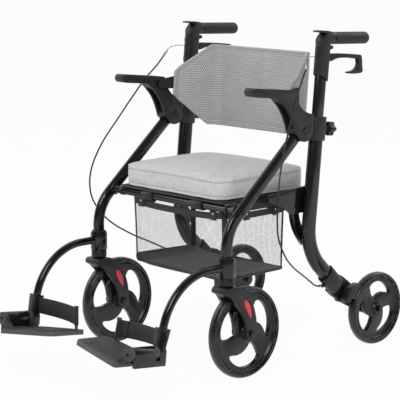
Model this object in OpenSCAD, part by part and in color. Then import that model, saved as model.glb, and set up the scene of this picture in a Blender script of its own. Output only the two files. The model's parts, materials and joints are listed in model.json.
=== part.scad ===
// Rollator transport chair: a walker with a seat, swing-away footrests and a frame that folds front to back.
// Millimetres. +Z is up, the chair faces -Y, and its left side is +X. The ground is z = 0.
// Every side piece is drawn once on the left side and mirrored for the right.

/* [Side frames] */
// Distance from the middle of the chair to the middle of each side frame
frame_half = 262; // [240:1:290]
// Lean of the rear legs and handle tubes, top to the rear, in degrees
leg_lean = 5.7; // [4:0.1:7]
// Fore and aft depth of the rear leg's flat-oval tube
rear_leg_depth = 46; // [42:1:52]
// Sideways width of the rear leg's flat-oval tube
rear_leg_width = 28; // [26:1:32]
// Fore and aft depth of the front leg's flat-oval tube
front_leg_depth = 34; // [30:1:38]
// Sideways width of the front leg's flat-oval tube
front_leg_width = 24; // [22:1:26]
// Wall of the leg tubes
tube_wall = 2; // [1.5:0.1:2.4]
// Bend radius at the foot of the rear leg
rear_bend_r = 150; // [120:5:180]
// Angle of the rear leg's foot from the vertical, in degrees
rear_foot_angle = 46; // [40:1:52]
// Bend radius of the front leg
front_bend_r = 120; // [100:5:140]
// Slope of the front leg's straight from the horizontal, in degrees
front_leg_slope = 40.5; // [38:0.5:43]

/* [Fold pivot] */
// Fore and aft place of the fold pivot
pivot_y = -50; // [-60:1:-40]
// Height of the fold pivot
pivot_z = 661; // [650:1:672]
// Radius of the pivot bolt
pivot_bolt_r = 5; // [4:0.5:6]
// Radius of the round lug on the leg clamp
lug_r = 20; // [18:1:24]
// Radius of the armrest's round cheek about the pivot
cheek_r = 32; // [30:1:34]
// Thickness of each armrest cheek
cheek_t = 6.5; // [5:0.5:8]

/* [Front wheels] */
// Radius of the front wheels
front_wheel_r = 127; // [120:1:130]
// Width of the front tyres
front_tyre_w = 32; // [28:1:34]
// Fore and aft place of the caster's swivel axis
swivel_y = -337; // [-345:1:-330]
// Distance of the front axle behind the swivel axis
caster_trail = 69; // [60:1:72]
// Radius of the caster stem
stem_r = 7; // [6:0.5:8]
// Thickness of each fork blade
fork_blade_t = 9; // [7:0.5:10]
// Gap between tyre and fork blade
fork_gap = 4; // [3:0.5:6]

/* [Rear wheels] */
// Radius of the rear wheels
rear_wheel_r = 107; // [100:1:112]
// Width of the rear tyres
rear_tyre_w = 30; // [26:1:32]
// Fore and aft place of the rear axle
rear_axle_y = 262; // [255:1:275]
// How far the rear wheel stands outside its leg
rear_wheel_out = 16; // [14:1:22]
// Radius of all axle bolts
axle_r = 5; // [4:0.5:6]
// Gap between tyre and brake shoe
shoe_gap = 4; // [3.5:0.5:6]

/* [Handles] */
// Fore and aft depth of the handle tube
handle_tube_depth = 39; // [36:1:40]
// Sideways width of the handle tube
handle_tube_width = 21; // [18:0.5:22]
// Height of the underside of the handle housing above the clamp, along the tube
handle_rise = 106; // [95:1:120]
// Width of the handle housing
housing_w = 31; // [29:1:34]
// Fore and aft depth of the handle housing
housing_depth = 48; // [46:1:54]
// Radius of the grip
grip_r = 17; // [15:0.5:18]
// Length of the grip
grip_len = 146; // [130:1:150]
// Droop of the grip to the rear, in degrees
grip_droop = 2.5; // [1:0.5:5]
// Width of the brake lever
lever_w = 14; // [12:1:16]

/* [Seat] */
// Half width of the cushion
cushion_half = 215; // [200:1:220]
// Fore and aft place of the cushion's front edge
cushion_front_y = -310; // [-316:1:-304]
// Depth of the cushion
cushion_depth = 368; // [350:1:375]
// Underside of the cushion
cushion_z = 481; // [478:1:484]
// Height of the cushion's side
cushion_side = 54; // [46:1:58]
// Rise of the cushion's crown above its side
cushion_crown = 22; // [14:1:26]
// Radius of the cushion's corners
cushion_corner_r = 58; // [45:1:65]
// Radius of the seat's hinge bar and of the rear cross tube
seat_bar_r = 11; // [9:0.5:12]
// Height of the seat's hinge bar
seat_bar_z = 461; // [458:1:462]

/* [Backrest] */
// How far the backrest's ends stand inside the middle of the frame's sides
back_inset = 25; // [23:1:32]
// Fore and aft place of the backrest's rear face
back_rear_y = 74; // [66:1:80]
// Radius of the backrest's corners, seen from above
back_corner_r = 42; // [36:1:50]
// Splay of the backrest's wings, in degrees from straight forward
wing_angle = 25; // [20:0.5:28]
// Lean of the backrest, top to the rear, in degrees
back_lean = 5; // [3:0.5:6]
// Thickness of the backrest
back_t = 10; // [7:0.5:12]
// Lowest height of the backrest
back_z0 = 628; // [620:1:640]
// Highest height of the backrest
back_z1 = 858; // [845:1:862]
// Height of the backrest's narrow ends
back_end_h = 64; // [56:1:72]

/* [Footrests] */
// Radius of the footrest's hanger tube
hanger_r = 11; // [9:0.5:12]
// Bend radius of the hanger tube
hanger_bend_r = 170; // [160:1:180]
// Turn of the hanger tube, in degrees
hanger_turn = 75; // [72:1:78]
// Tilt of the footplate, toes up, in degrees
foot_tilt = 7; // [5:0.5:9]
// Length of the footplate's hinge box
hinge_box_len = 108; // [100:1:116]
// Radius of the hinge box's round top
hinge_box_r = 18; // [16:0.5:19]
// Width of the footplate from the hinge to its inner edge
plate_w = 217; // [205:1:222]
// Thickness of the footplate
plate_t = 12; // [10:1:14]
// Roll of the footplate about its hinge, inner edge up, in degrees
plate_roll = 7.4; // [5:0.1:9]

/* [Basket] */
// Half width of the basket
basket_half = 190; // [175:1:195]
// Height of the basket's floor
basket_z = 257; // [256:1:280]
// Thickness of the basket's cloth
cloth_t = 3; // [2:0.5:4]

/* [Hidden] */
$fn = 48;

// Clearances: a turning pin in its bore, a seat between fixed pieces, and open air between moving pieces
running = 0.05;
seat_gap = 0.2;
air = 0.4;

// Colours of the chair's materials
black_gloss = "#17181a";
charcoal = "#2b2d30";
rubber_black = "#1c1c1d";
steel = "#b9bcc0";
linen = "#cfd0d0";
mesh_grey = "#a2a4a6";
red_insert = "#d81e33";

// Derived places on the side frame, as [y, z]
lean_up = [sin(leg_lean), cos(leg_lean)];
lean_back = [cos(leg_lean), -sin(leg_lean)];
leg_top = [18.4, 692];
rear_straight = 305;
rear_bend_start = leg_top - rear_straight * lean_up;
rear_bend_centre = rear_bend_start + rear_bend_r * lean_back;
rear_bend_turn = leg_lean + rear_foot_angle;
rear_foot_dir = [sin(rear_foot_angle), -cos(rear_foot_angle)];
rear_foot_start = rear_bend_centre + rear_bend_r * [-cos(rear_foot_angle), -sin(rear_foot_angle)];
rear_foot_len = 84;
clamp_h = 66;
clamp_wall = 6;
clamp_mid = leg_top - clamp_h / 2 * lean_up;

front_dir = [-cos(front_leg_slope), -sin(front_leg_slope)];
pivot = [pivot_y, pivot_z];
front_leg_top = pivot + (lug_r + 2) * front_dir;
front_elbow = [swivel_y, pivot_z + (swivel_y - pivot_y) * tan(front_leg_slope)];
front_bend_turn = 90 - front_leg_slope;
crown_top_z = 2 * front_wheel_r + 10;
front_foot_z = crown_top_z + 81;
// The bend leaves a straight over the caster housing for its spigot
front_spigot_h = 14;
front_bend_room = (front_elbow[1] - front_foot_z - front_spigot_h - 1.5) / tan(front_bend_turn / 2);
front_bend = min(front_bend_r, front_bend_room);
front_tangent = front_bend * tan(front_bend_turn / 2);
front_bend_start = front_elbow - front_tangent * front_dir;
front_bend_end = front_elbow - [0, front_tangent];
front_bend_centre = front_bend_end + [front_bend, 0];

axle_y = swivel_y + caster_trail;
fork_half = front_tyre_w / 2 + fork_gap + fork_blade_t;
rear_x = frame_half + rear_wheel_out;
rear_arm_x = rear_x - rear_tyre_w / 2 - 5;
rear_arm_t = 14;
rear_hub = [rear_axle_y, rear_wheel_r];
seat_bar_y = pivot_y - (pivot_z - seat_bar_z) / tan(front_leg_slope);
rail_t = 10;
rail_x = cushion_half - 2;
rail_h = cushion_z - 7 - (seat_bar_z - seat_bar_r - 2);
rear_tube_y = 2;
rear_tube_z = cushion_z - 7 - rail_h - seat_bar_r - 0.3;
back_half = frame_half - back_inset;
band_end_y = -62;
hinge_y = pivot_y - 56;
hinge_z = pivot_z + 94;

// Journal of the footrest's collar on the caster housing
journal_r = 17;
collar_z0 = crown_top_z + 26;
collar_h = 49;
// Middle line of the hanger tube and the hinge line of the footplate, in the side view
hanger_z = collar_z0 + collar_h / 2 + 3.5;
hanger_start = [swivel_y - 66, hanger_z];
hanger_centre = hanger_start - [0, hanger_bend_r];
hanger_end = hanger_centre + hanger_bend_r * [-sin(hanger_turn), cos(hanger_turn)];
hinge_rear = hanger_end + [-5, -63];
foot_up = [sin(foot_tilt), cos(foot_tilt)];
foot_along = [-cos(foot_tilt), sin(foot_tilt)];
knuckle = 22;
knuckle_end = 36;
nose_knuckle = 12;
box_drop = 34;
box_in = 22;
plate_top = -27;
plate_edge = 16;
plate_nose = hinge_box_len + 34;
foot_pin_r = 5;
// The middle of the chair's length, so that it stands centred on the origin
nose_low = (plate_t - plate_top) * cos(plate_roll) - (plate_edge + 7) * sin(plate_roll);
nose_y = hinge_rear[0] - plate_nose * cos(foot_tilt) - nose_low * sin(foot_tilt);
mid_y = (nose_y + rear_axle_y + rear_wheel_r) / 2;
module placed() {
    translate([0, -mid_y, 0]) children();
}

// A flat-oval outline: depth along x, width along y
function oval_points(depth, width, n = 12) = let (r = width / 2, e = (depth - width) / 2) concat(
    [for (i = [0:n]) let (a = -90 + 180 * i / n) [e + r * cos(a), r * sin(a)]],
    [for (i = [0:n]) let (a = 90 + 180 * i / n) [-e + r * cos(a), r * sin(a)]]);
module flat_oval(depth, width) {
    polygon(oval_points(depth, width));
}

// A straight oval bar in the side frame, from a point along a direction, both as [y, z]
module oval_straight(start, dir, length, depth, width) {
    translate([frame_half, start[0], start[1]])
        rotate([-atan2(dir[0], dir[1]), 0, 0])
            linear_extrude(length) rotate(90) flat_oval(depth, width);
}

// A bend of an oval bar in the side frame about a centre, between two angles from +Y towards +Z
module oval_bend(centre, radius, from, turn, depth, width) {
    translate([frame_half, centre[0], centre[1]]) rotate([90, 0, 90]) rotate(from)
        rotate_extrude(angle = turn, $fn = 96) translate([radius, 0]) flat_oval(depth, width);
}

// A plate cut from a side view outline, [y, z], between two distances from the middle of the chair
module side_plate(x0, x1) {
    translate([x0, 0, 0]) rotate([90, 0, 90]) linear_extrude(x1 - x0) children();
}

// A pin along X through a side view point
module cross_pin(at, x0, x1, radius) {
    translate([x0, at[0], at[1]]) rotate([0, 90, 0]) cylinder(r = radius, h = x1 - x0);
}

// The left piece mirrored to the right side
module right_side() {
    mirror([1, 0, 0]) children();
}

// Points of a cubic curve between two ends with two handles
function curve(a, b, c, d, n = 10) = [for (i = [0:n]) let (t = i / n, u = 1 - t)
    u * u * u * a + 3 * u * u * t * b + 3 * u * t * t * c + t * t * t * d];
// Points of an arc about a centre between two angles
function arc(centre, radius, from, to, n = 12) = [for (i = [0:n]) let (a = from + (to - from) * i / n)
    centre + radius * [cos(a), sin(a)]];

// Rear frame

// Rear leg: a straight, a bend and a foot, drawn once outside and once inside
module rear_leg_run(wall, past) {
    depth = rear_leg_depth - 2 * wall;
    width = rear_leg_width - 2 * wall;
    oval_straight(rear_bend_start, lean_up, rear_straight - 8 + past, depth, width);
    oval_bend(rear_bend_centre, rear_bend_r, 180 - leg_lean, rear_bend_turn, depth, width);
    oval_straight(rear_foot_start, rear_foot_dir, rear_foot_len + past, depth, width);
}
module rear_leg() {
    color(black_gloss) difference() {
        rear_leg_run(0, 0);
        rear_leg_run(tube_wall, 1);
    }
}

// Collar on the rear leg's top with the lug for the fold pivot and the boss for the height knob
knob_r = 4;
knob_boss_r = 11;
module leg_clamp() {
    collar_depth = rear_leg_depth + 2 * clamp_wall;
    collar_width = rear_leg_width + 2 * clamp_wall;
    color(charcoal) difference() {
        union() {
            oval_straight(leg_top - clamp_h * lean_up, lean_up, clamp_h, collar_depth, collar_width);
            side_plate(frame_half - front_leg_width / 2, frame_half + front_leg_width / 2) {
                translate(pivot) circle(lug_r);
                polygon([pivot + [0, lug_r], pivot + lug_r * [cos(-60), sin(-60)], clamp_mid - [0, 26], clamp_mid + [0, 20]]);
            }
            translate([frame_half, clamp_mid[0], clamp_mid[1]]) rotate([-90 - leg_lean, 0, 0])
                cylinder(r = knob_boss_r, h = collar_depth / 2 + 4);
        }
        oval_straight(leg_top - (clamp_h + 1) * lean_up, lean_up, clamp_h - 7 + seat_gap,
            rear_leg_depth + 2 * seat_gap, rear_leg_width + 2 * seat_gap);
        oval_straight(leg_top - 20 * lean_up, lean_up, 40, handle_tube_depth + 2 * air, handle_tube_width + 2 * air);
        cross_pin(pivot, frame_half - 30, frame_half + 30, pivot_bolt_r + running);
        translate([frame_half, clamp_mid[0], clamp_mid[1]]) rotate([-90 - leg_lean, 0, 0])
            cylinder(r = knob_r + running, h = collar_depth);
    }
}

// Plastic foot of the rear leg: a socket, an arm inside the wheel to the axle, and a stop for the brake cable
shoe_pivot = rear_hub + (rear_wheel_r + 30) * [cos(160), sin(160)];
shoe_pin_r = 4;
foot_end = rear_foot_start + rear_foot_len * rear_foot_dir;
cable_stop = [foot_end[0] - 49, foot_end[1] - 3];
module rear_bracket() {
    socket_depth = rear_leg_depth + 10;
    socket_width = rear_leg_width + 10;
    arm_in = rear_arm_x - rear_arm_t;
    color(charcoal) difference() {
        union() {
            oval_straight(foot_end - 46 * rear_foot_dir, rear_foot_dir, 62, socket_depth, socket_width);
            side_plate(arm_in, rear_arm_x) polygon(concat(
                curve(foot_end + [-14, -24], foot_end + [20, -56], rear_hub + [-80, 8], rear_hub + [-14, -19]),
                arc(rear_hub, 23, 240, 410),
                curve(rear_hub + [8, 24], rear_hub + [-50, 44], foot_end + [50, 20], foot_end + [20, 20])));
            side_plate(arm_in, rear_arm_x) translate(shoe_pivot) circle(12);
            translate([frame_half, cable_stop[0], cable_stop[1]]) rotate([-90, 0, 0]) cylinder(r = 5, h = 30);
        }
        oval_straight(foot_end - 60 * rear_foot_dir, rear_foot_dir, 60 + seat_gap,
            rear_leg_depth + 2 * seat_gap, rear_leg_width + 2 * seat_gap);
        cross_pin(rear_hub, arm_in - 5, rear_arm_x + 5, axle_r + running);
        cross_pin(shoe_pivot, arm_in - 5, rear_arm_x + 5, shoe_pin_r + running);
        translate([rear_x, rear_axle_y, rear_wheel_r]) rotate([0, 90, 0])
            cylinder(r = rear_wheel_r + 3, h = rear_tyre_w + 6, center = true, $fn = 96);
    }
}

// Cross tube that joins the rear legs under the seat and carries its rear end
module rear_cross_tube() {
    color(black_gloss) translate([-frame_half + rear_leg_width / 2 + 8, rear_tube_y, rear_tube_z])
        rotate([0, 90, 0]) cylinder(r = seat_bar_r, h = 2 * (frame_half - rear_leg_width / 2 - 8));
}

// Side plate on the rear leg with the curved stay below it
stay_foot = [0, 338];
module seat_stay() {
    x1 = frame_half - rear_leg_width / 2 - seat_gap;
    color(black_gloss) {
        difference() {
            side_plate(x1 - 7.8, x1) polygon(concat(
                [[-162, 486], [-158, 468], [-96, 446], [-70, 424]],
                [[20, 424], [26, 440], [26, 492], [16, 500], [-60, 494]]));
            cross_pin([rear_tube_y, rear_tube_z], x1 - 20, x1 + 1, seat_bar_r - 3);
        }
        side_plate(x1 - 22, x1 - 7.8) polygon(concat(
            curve([-58, 452], [-60, 400], [-44, 366], [-8, 326]),
            curve([14, 346], [-22, 380], [-32, 410], [-30, 452])));
        cross_pin(stay_foot, x1 - 15, x1, 12);
    }
}

// Bolt heads and axle bolts of the rear frame
module button_head(radius, height) {
    cylinder(r1 = radius, r2 = radius * 0.72, h = height);
}
module rear_frame_bolts() {
    x1 = frame_half - rear_leg_width / 2 - seat_gap - 7.8;
    for (s = [0, 1]) color(steel) mirror([s, 0, 0]) {
        for (p = [[-60, 480], [12, 484]]) translate([x1, p[0], p[1]]) rotate([0, -90, 0]) button_head(7, 5);
        cross_pin(rear_hub, rear_arm_x - rear_arm_t - 6, rear_x + rear_tyre_w / 2 + 7, axle_r);
        cross_pin(rear_hub, rear_x + rear_tyre_w / 2 + 2, rear_x + rear_tyre_w / 2 + 9, 9);
        cross_pin(rear_hub, rear_arm_x - rear_arm_t - 8, rear_arm_x - rear_arm_t, 9);
        cross_pin(rear_hub, rear_arm_x, rear_x - rear_tyre_w / 2 - air, 8);
    }
}

// Brake cable from the handle housing out round the side and back to the rear bracket
cable_r = 2.4;
cable_route = [[262, 10.2, 856], [262, -15, 855], [268, -46, 836], [276, -68, 802],
    [294, -98, 764], [318, -145, 715], [340, -192, 650],
    [362, -235, 580], [378, -262, 510], [382, -268, 452], [376, -256, 400], [360, -212, 342], [334, -150, 298],
    [306, -85, 264], [284, -30, 234], [268, 12, 212], [262, 44, 204]];
function unit(v) = v / norm(v);
function route_at(p, t) = let (
    last = len(p) - 1, i = min(floor(t), last - 1), u = t - i,
    a = p[max(i - 1, 0)], b = p[i], c = p[i + 1], d = p[min(i + 2, last)])
    0.5 * (2 * b + (c - a) * u + (2 * a - 5 * b + 4 * c - d) * u * u + (3 * b - a - 3 * c + d) * u * u * u);
function sweep_points(p, radius, sides, rings) = [for (k = [0:rings]) let (
    last = len(p) - 1, t = last * k / rings,
    dir = k == 0 ? [0, -1, 0] : k == rings ? [0, 1, 0] : unit(route_at(p, min(t + 0.05, last)) - route_at(p, max(t - 0.05, 0))),
    e1 = unit(cross(dir, [1, 0.2, 0.1])), e2 = cross(dir, e1))
    for (j = [0:sides - 1]) route_at(p, t) + radius * (cos(360 * j / sides) * e1 + sin(360 * j / sides) * e2)];
module brake_cable() {
    sides = 8;
    rings = 78;
    points = sweep_points(cable_route, cable_r, sides, rings);
    walls = [for (k = [0:rings - 1], j = [0:sides - 1]) let (a = k * sides + j, b = k * sides + (j + 1) % sides)
        each [[a, b, b + sides], [a, b + sides, a + sides]]];
    first = [for (j = [1:sides - 2]) [0, j + 1, j]];
    top = rings * sides;
    last = [for (j = [1:sides - 2]) [top, top + j, top + j + 1]];
    color(rubber_black) polyhedron(points, concat(walls, first, last));
}

// Front frame

// Front leg: a slope from the armrest, a bend and a short upright foot
module front_leg_run(wall, past) {
    depth = front_leg_depth - 2 * wall;
    width = front_leg_width - 2 * wall;
    oval_straight(front_bend_start, -front_dir, norm(front_bend_start - front_leg_top) + past, depth, width);
    oval_bend(front_bend_centre, front_bend, 180 - front_bend_turn, front_bend_turn, depth, width);
    oval_straight(front_bend_end, [0, -1], front_bend_end[1] - front_foot_z + past, depth, width);
}
module front_leg() {
    color(black_gloss) difference() {
        front_leg_run(0, 0);
        front_leg_run(tube_wall, 1);
    }
}

// Armrest moulding: a pad on a curved arm that holds the front leg and turns on the pivot
arm_half = front_leg_width / 2 + cheek_t;
module armrest_outline() {
    polygon(concat(
        curve(pivot + [-198, 107], pivot + [-206, 110], pivot + [-208, 128], pivot + [-196, 129], 6),
        curve(pivot + [-190, 129], pivot + [-150, 124], pivot + [-90, 119], pivot + [-44, 113], 4),
        curve(pivot + [-38, 108], pivot + [-30, 62], pivot + [-2, 48], pivot + [cheek_r + 1, 42]),
        [pivot + [cheek_r + 1.5, 36], pivot + [cheek_r, 6]],
        arc(pivot, cheek_r, 0, -150, 14),
        curve(pivot + [-40, -6], pivot + [-52, 44], pivot + [-74, 70], pivot + [-104, 94]),
        curve(pivot + [-112, 97], pivot + [-140, 100], pivot + [-170, 103], pivot + [-190, 105], 4)));
}
module armrest() {
    slot = front_leg_width / 2 + air;
    color(charcoal) difference() {
        side_plate(frame_half - arm_half, frame_half + arm_half) armrest_outline();
        side_plate(frame_half - slot, frame_half + slot) {
            translate(pivot) circle(lug_r + 1.5);
            translate(pivot) rotate(atan2(-front_dir[1], -front_dir[0])) translate([-90, -front_leg_depth / 2 - air])
                square([90, front_leg_depth + 2 * air]);
            polygon([pivot + [0, lug_r + 1.5], pivot + [0, -60], pivot + [60, -60], pivot + [60, 60], pivot + [14, 34]]);
            polygon(concat([pivot + [-60, -20], pivot + [-30, 14]],
                curve(pivot + [-30, 22], pivot + [-44, 56], pivot + [-68, 80], pivot + [-108, 88], 6),
                [pivot + [-130, 60]]));
        }
        cross_pin(pivot, frame_half - 30, frame_half + 30, pivot_bolt_r + running);
        cross_pin([hinge_y, hinge_z], frame_half - arm_half - 1, frame_half - arm_half + cheek_t + 6, hinge_pin_r + running);
        for (s = [-1, 1]) cross_pin(pivot, frame_half + s * (arm_half + 1) - 3, frame_half + s * (arm_half + 1) + 3, 9);
    }
}

// Swivel housing under the front leg, with a journal for the footrest's collar and a spigot up inside the tube
module caster_housing() {
    spigot = front_leg_width / 2 - tube_wall - 1;
    color(charcoal) translate([frame_half, swivel_y, 0]) difference() {
        rotate_extrude() polygon([[0, crown_top_z + air], [18, crown_top_z + air], [22, crown_top_z + 5],
            [22, crown_top_z + 21], [20, collar_z0 - 0.5], [journal_r, collar_z0 - 0.5],
            [journal_r, collar_z0 + collar_h + 0.5], [20.5, collar_z0 + collar_h + 0.5], [20.5, front_foot_z - 2],
            [18.5, front_foot_z - 0.1], [spigot, front_foot_z - 0.1], [spigot, front_foot_z + front_spigot_h],
            [0, front_foot_z + front_spigot_h]]);
        translate([0, 0, crown_top_z - 1]) cylinder(r = stem_r + running, h = 47);
    }
}

// Bar between the front legs that the seat turns on, with a flange against each leg
module seat_hinge_bar() {
    end_x = frame_half - front_leg_width / 2 - seat_gap;
    color(black_gloss) translate([0, seat_bar_y, seat_bar_z]) {
        translate([-end_x, 0, 0]) rotate([0, 90, 0]) cylinder(r = seat_bar_r, h = 2 * end_x);
        for (s = [-1, 1]) translate([s * (end_x - 2), 0, 0]) rotate([0, s * 90, 0])
            translate([0, 0, -2]) cylinder(r = 16, h = 4);
    }
}

module front_frame_bolts() {
    for (s = [0, 1]) color(steel) mirror([s, 0, 0]) {
        cross_pin(pivot, frame_half - arm_half - 1, frame_half + arm_half + 1, pivot_bolt_r);
        for (e = [-1, 1]) cross_pin(pivot, frame_half + e * (arm_half - 0.4) - 1.5, frame_half + e * (arm_half - 0.4) + 1.5, 8);
        translate([frame_half + front_leg_width / 2, seat_bar_y, seat_bar_z]) rotate([0, 90, 0]) button_head(8, 5);
    }
}

// Casters

// Side view of a fork blade, with a short nose under the swivel housing
module fork_outline() {
    axle = [axle_y, front_wheel_r];
    polygon(concat(
        [[swivel_y - 20, crown_top_z]],
        curve([swivel_y - 23, crown_top_z - 1], [swivel_y - 27, crown_top_z - 5], [swivel_y - 30, crown_top_z - 12],
            [swivel_y - 27, crown_top_z - 15], 5),
        curve([swivel_y - 12, crown_top_z - 24], [swivel_y + 14, crown_top_z - 52], axle + [-24, 60], axle + [-19, 8]),
        arc(axle, 20, 157, 383, 14),
        curve(axle + [20, 16], axle + [18, 66], [swivel_y + 66, crown_top_z - 24], [swivel_y + 20, crown_top_z])));
}
// The part of the fork above the wheel, which joins the two blades
module crown_outline() {
    intersection() {
        fork_outline();
        difference() {
            translate([swivel_y - 60, crown_top_z - 60]) square([120, 62]);
            translate([axle_y, front_wheel_r]) circle(front_wheel_r + 5, $fn = 120);
        }
    }
}
insert_t = 2;
// Teardrop recess on the outer face of the fork
module insert_outline(grow) {
    top = [axle_y - 20, front_wheel_r + 98];
    tip = [axle_y - 3, front_wheel_r + 42];
    polygon(concat(
        curve(tip + [0, -grow], tip + [-10 - grow, 16], top + [-14 - grow, -16], top + [-8, grow], 8),
        curve(top + [-4, grow], top + [10 + grow, -6], tip + [6 + grow, 20], tip + [0, -grow], 8)));
}
module fork() {
    color(charcoal) difference() {
        union() {
            for (s = [-1, 1]) side_plate(frame_half + (s < 0 ? -fork_half : fork_half - fork_blade_t),
                frame_half + (s < 0 ? fork_blade_t - fork_half : fork_half)) fork_outline();
            side_plate(frame_half - fork_half, frame_half + fork_half) crown_outline();
            translate([frame_half, swivel_y, crown_top_z - 12]) cylinder(r = stem_r, h = 54);
        }
        for (s = [-1, 1]) side_plate(frame_half + s * fork_half - insert_t, frame_half + s * fork_half + insert_t)
            insert_outline(seat_gap);
        cross_pin([axle_y, front_wheel_r], frame_half - 60, frame_half + 60, axle_r + running);
    }
}
module fork_insert() {
    color(red_insert) for (s = [-1, 1])
        side_plate(frame_half + s * fork_half - (s > 0 ? insert_t : 0.6), frame_half + s * fork_half + (s > 0 ? 0.6 : insert_t))
            insert_outline(0);
}
module front_axle() {
    axle = [axle_y, front_wheel_r];
    color(steel) {
        cross_pin(axle, frame_half - fork_half - 2, frame_half + fork_half + 2, axle_r);
        for (s = [-1, 1]) {
            cross_pin(axle, frame_half + s * (fork_half + 2.5) - 2.5, frame_half + s * (fork_half + 2.5) + 2.5, 9);
            cross_pin(axle, frame_half + s * (front_tyre_w / 2 + fork_gap / 2) - fork_gap / 2 + air,
                frame_half + s * (front_tyre_w / 2 + fork_gap / 2) + fork_gap / 2 - air, 8);
        }
    }
}

// Wheels

// One window of a wheel, worked out in polar form: it reaches the hub at one end and thins out along the ring
function bean(r_in, r_out, span, n = 22) = concat(
    [for (i = [0:n]) let (t = i / n) (bean_mid(r_in, r_out, t) + bean_half(r_in, r_out, t)) * [cos(span * t), sin(span * t)]],
    [for (i = [n - 1:-1:1]) let (t = i / n) (bean_mid(r_in, r_out, t) - bean_half(r_in, r_out, t)) * [cos(span * t), sin(span * t)]]);
function bean_mid(r_in, r_out, t) = r_out - (r_out - r_in) * (0.5 - 0.31 * t);
function bean_half(r_in, r_out, t) = (r_out - r_in) * (0.5 - 0.31 * t) * pow(sin(180 * pow(t, 0.6)), 0.4);
// Tyre: a round tread on a flat base
module tyre(radius, width, base) {
    shoulder = width * 0.28;
    color(rubber_black) rotate([0, 90, 0]) rotate_extrude($fn = 120) polygon(concat(
        [[base, -width / 2 + 2]], [[radius - shoulder, -width / 2]],
        [for (a = [-70:14:70]) [radius - shoulder + shoulder * cos(a), (width / 2) * sin(a) / sin(70) * 0.98]],
        [[radius - shoulder, width / 2], [base, width / 2 - 2]]));
}
// Rim: a dished ring, a web with three windows, and a hub
module rim(radius, width, hub_half, turn) {
    lip = width / 2 - 1;
    color(charcoal) rotate([0, 90, 0]) difference() {
        rotate_extrude($fn = 120) polygon([[axle_r + running, -hub_half], [17, -hub_half], [21, -7],
            [radius - 8, -7], [radius - 5, -lip], [radius, -lip], [radius, lip], [radius - 5, lip],
            [radius - 8, 7], [21, 7], [17, hub_half], [axle_r + running, hub_half]]);
        for (k = [0:2]) rotate(turn + 120 * k) translate([0, 0, -20]) linear_extrude(40)
            polygon(bean(24, radius - 12, -88));
    }
}
front_base = front_wheel_r - 16;
rear_base = rear_wheel_r - 15;
module front_tyre() {
    translate([frame_half, axle_y, front_wheel_r]) tyre(front_wheel_r, front_tyre_w, front_base + seat_gap);
}
module front_rim() {
    translate([frame_half, axle_y, front_wheel_r]) rim(front_base, front_tyre_w - 4, front_tyre_w / 2, 40);
}
module rear_tyre() {
    translate([rear_x, rear_axle_y, rear_wheel_r]) tyre(rear_wheel_r, rear_tyre_w, rear_base + seat_gap);
}
module rear_rim() {
    translate([rear_x, rear_axle_y, rear_wheel_r]) rim(rear_base, rear_tyre_w - 4, rear_tyre_w / 2, 89);
}

// Brake shoe: a wedge on a pin in the bracket, with a curved face along the tyre's tread
module brake_shoe() {
    shoe_w = rear_tyre_w - 6;
    r0 = rear_wheel_r + shoe_gap;
    color(charcoal) {
        side_plate(rear_x - shoe_w / 2, rear_x + shoe_w / 2) {
            polygon(concat(arc(rear_hub, r0, 157, 134, 12),
                [rear_hub + (r0 + 9) * [cos(133), sin(133)], rear_hub + (r0 + 33) * [cos(145), sin(145)],
                    rear_hub + (r0 + 36) * [cos(148), sin(148)], shoe_pivot + [-6, 7]]));
            translate(shoe_pivot) circle(10);
        }
        cross_pin(shoe_pivot, rear_arm_x + air, rear_x, 8);
        cross_pin(shoe_pivot, rear_arm_x - rear_arm_t - 3, rear_x, shoe_pin_r);
        cross_pin(shoe_pivot, rear_arm_x - rear_arm_t - 4, rear_arm_x - rear_arm_t - air, 7);
    }
}

// Handles

function up_tube(y_off, along) = leg_top + along * lean_up + y_off * lean_back;
// Length of the handle tube inside the housing, which ends below the lever
tube_in_housing = 42;
module handle_tube() {
    length = 205 + handle_rise + tube_in_housing;
    color(black_gloss) difference() {
        oval_straight(up_tube(0, -205), lean_up, length, handle_tube_depth, handle_tube_width);
        oval_straight(up_tube(0, -206), lean_up, length + 2, handle_tube_depth - 2 * tube_wall,
            handle_tube_width - 2 * tube_wall);
    }
}
grip_root = up_tube(36, handle_rise + 114);
grip_dir = [cos(grip_droop), -sin(grip_droop)];
lever_pivot = up_tube(12, handle_rise + 60);
lever_pin_r = 3;
// Side view of the housing: diagonal foot, a front that curves back to the grip, and a collar for the grip
module housing_outline() {
    half = housing_depth / 2;
    polygon(concat(
        [up_tube(-half, handle_rise + 12)],
        curve(up_tube(-half, handle_rise + 76), up_tube(3 - half, handle_rise + 100), up_tube(12 - half, handle_rise + 122),
            up_tube(32 - half, handle_rise + 130), 8),
        [grip_root + [4, grip_r - 0.5], grip_root + [4, -grip_r + 1]],
        curve(grip_root + [-8, -grip_r + 1], up_tube(half, handle_rise + 92), up_tube(half - 2, handle_rise + 86),
            up_tube(half, handle_rise + 72), 5),
        [up_tube(half, handle_rise - 8)]));
}
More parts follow.
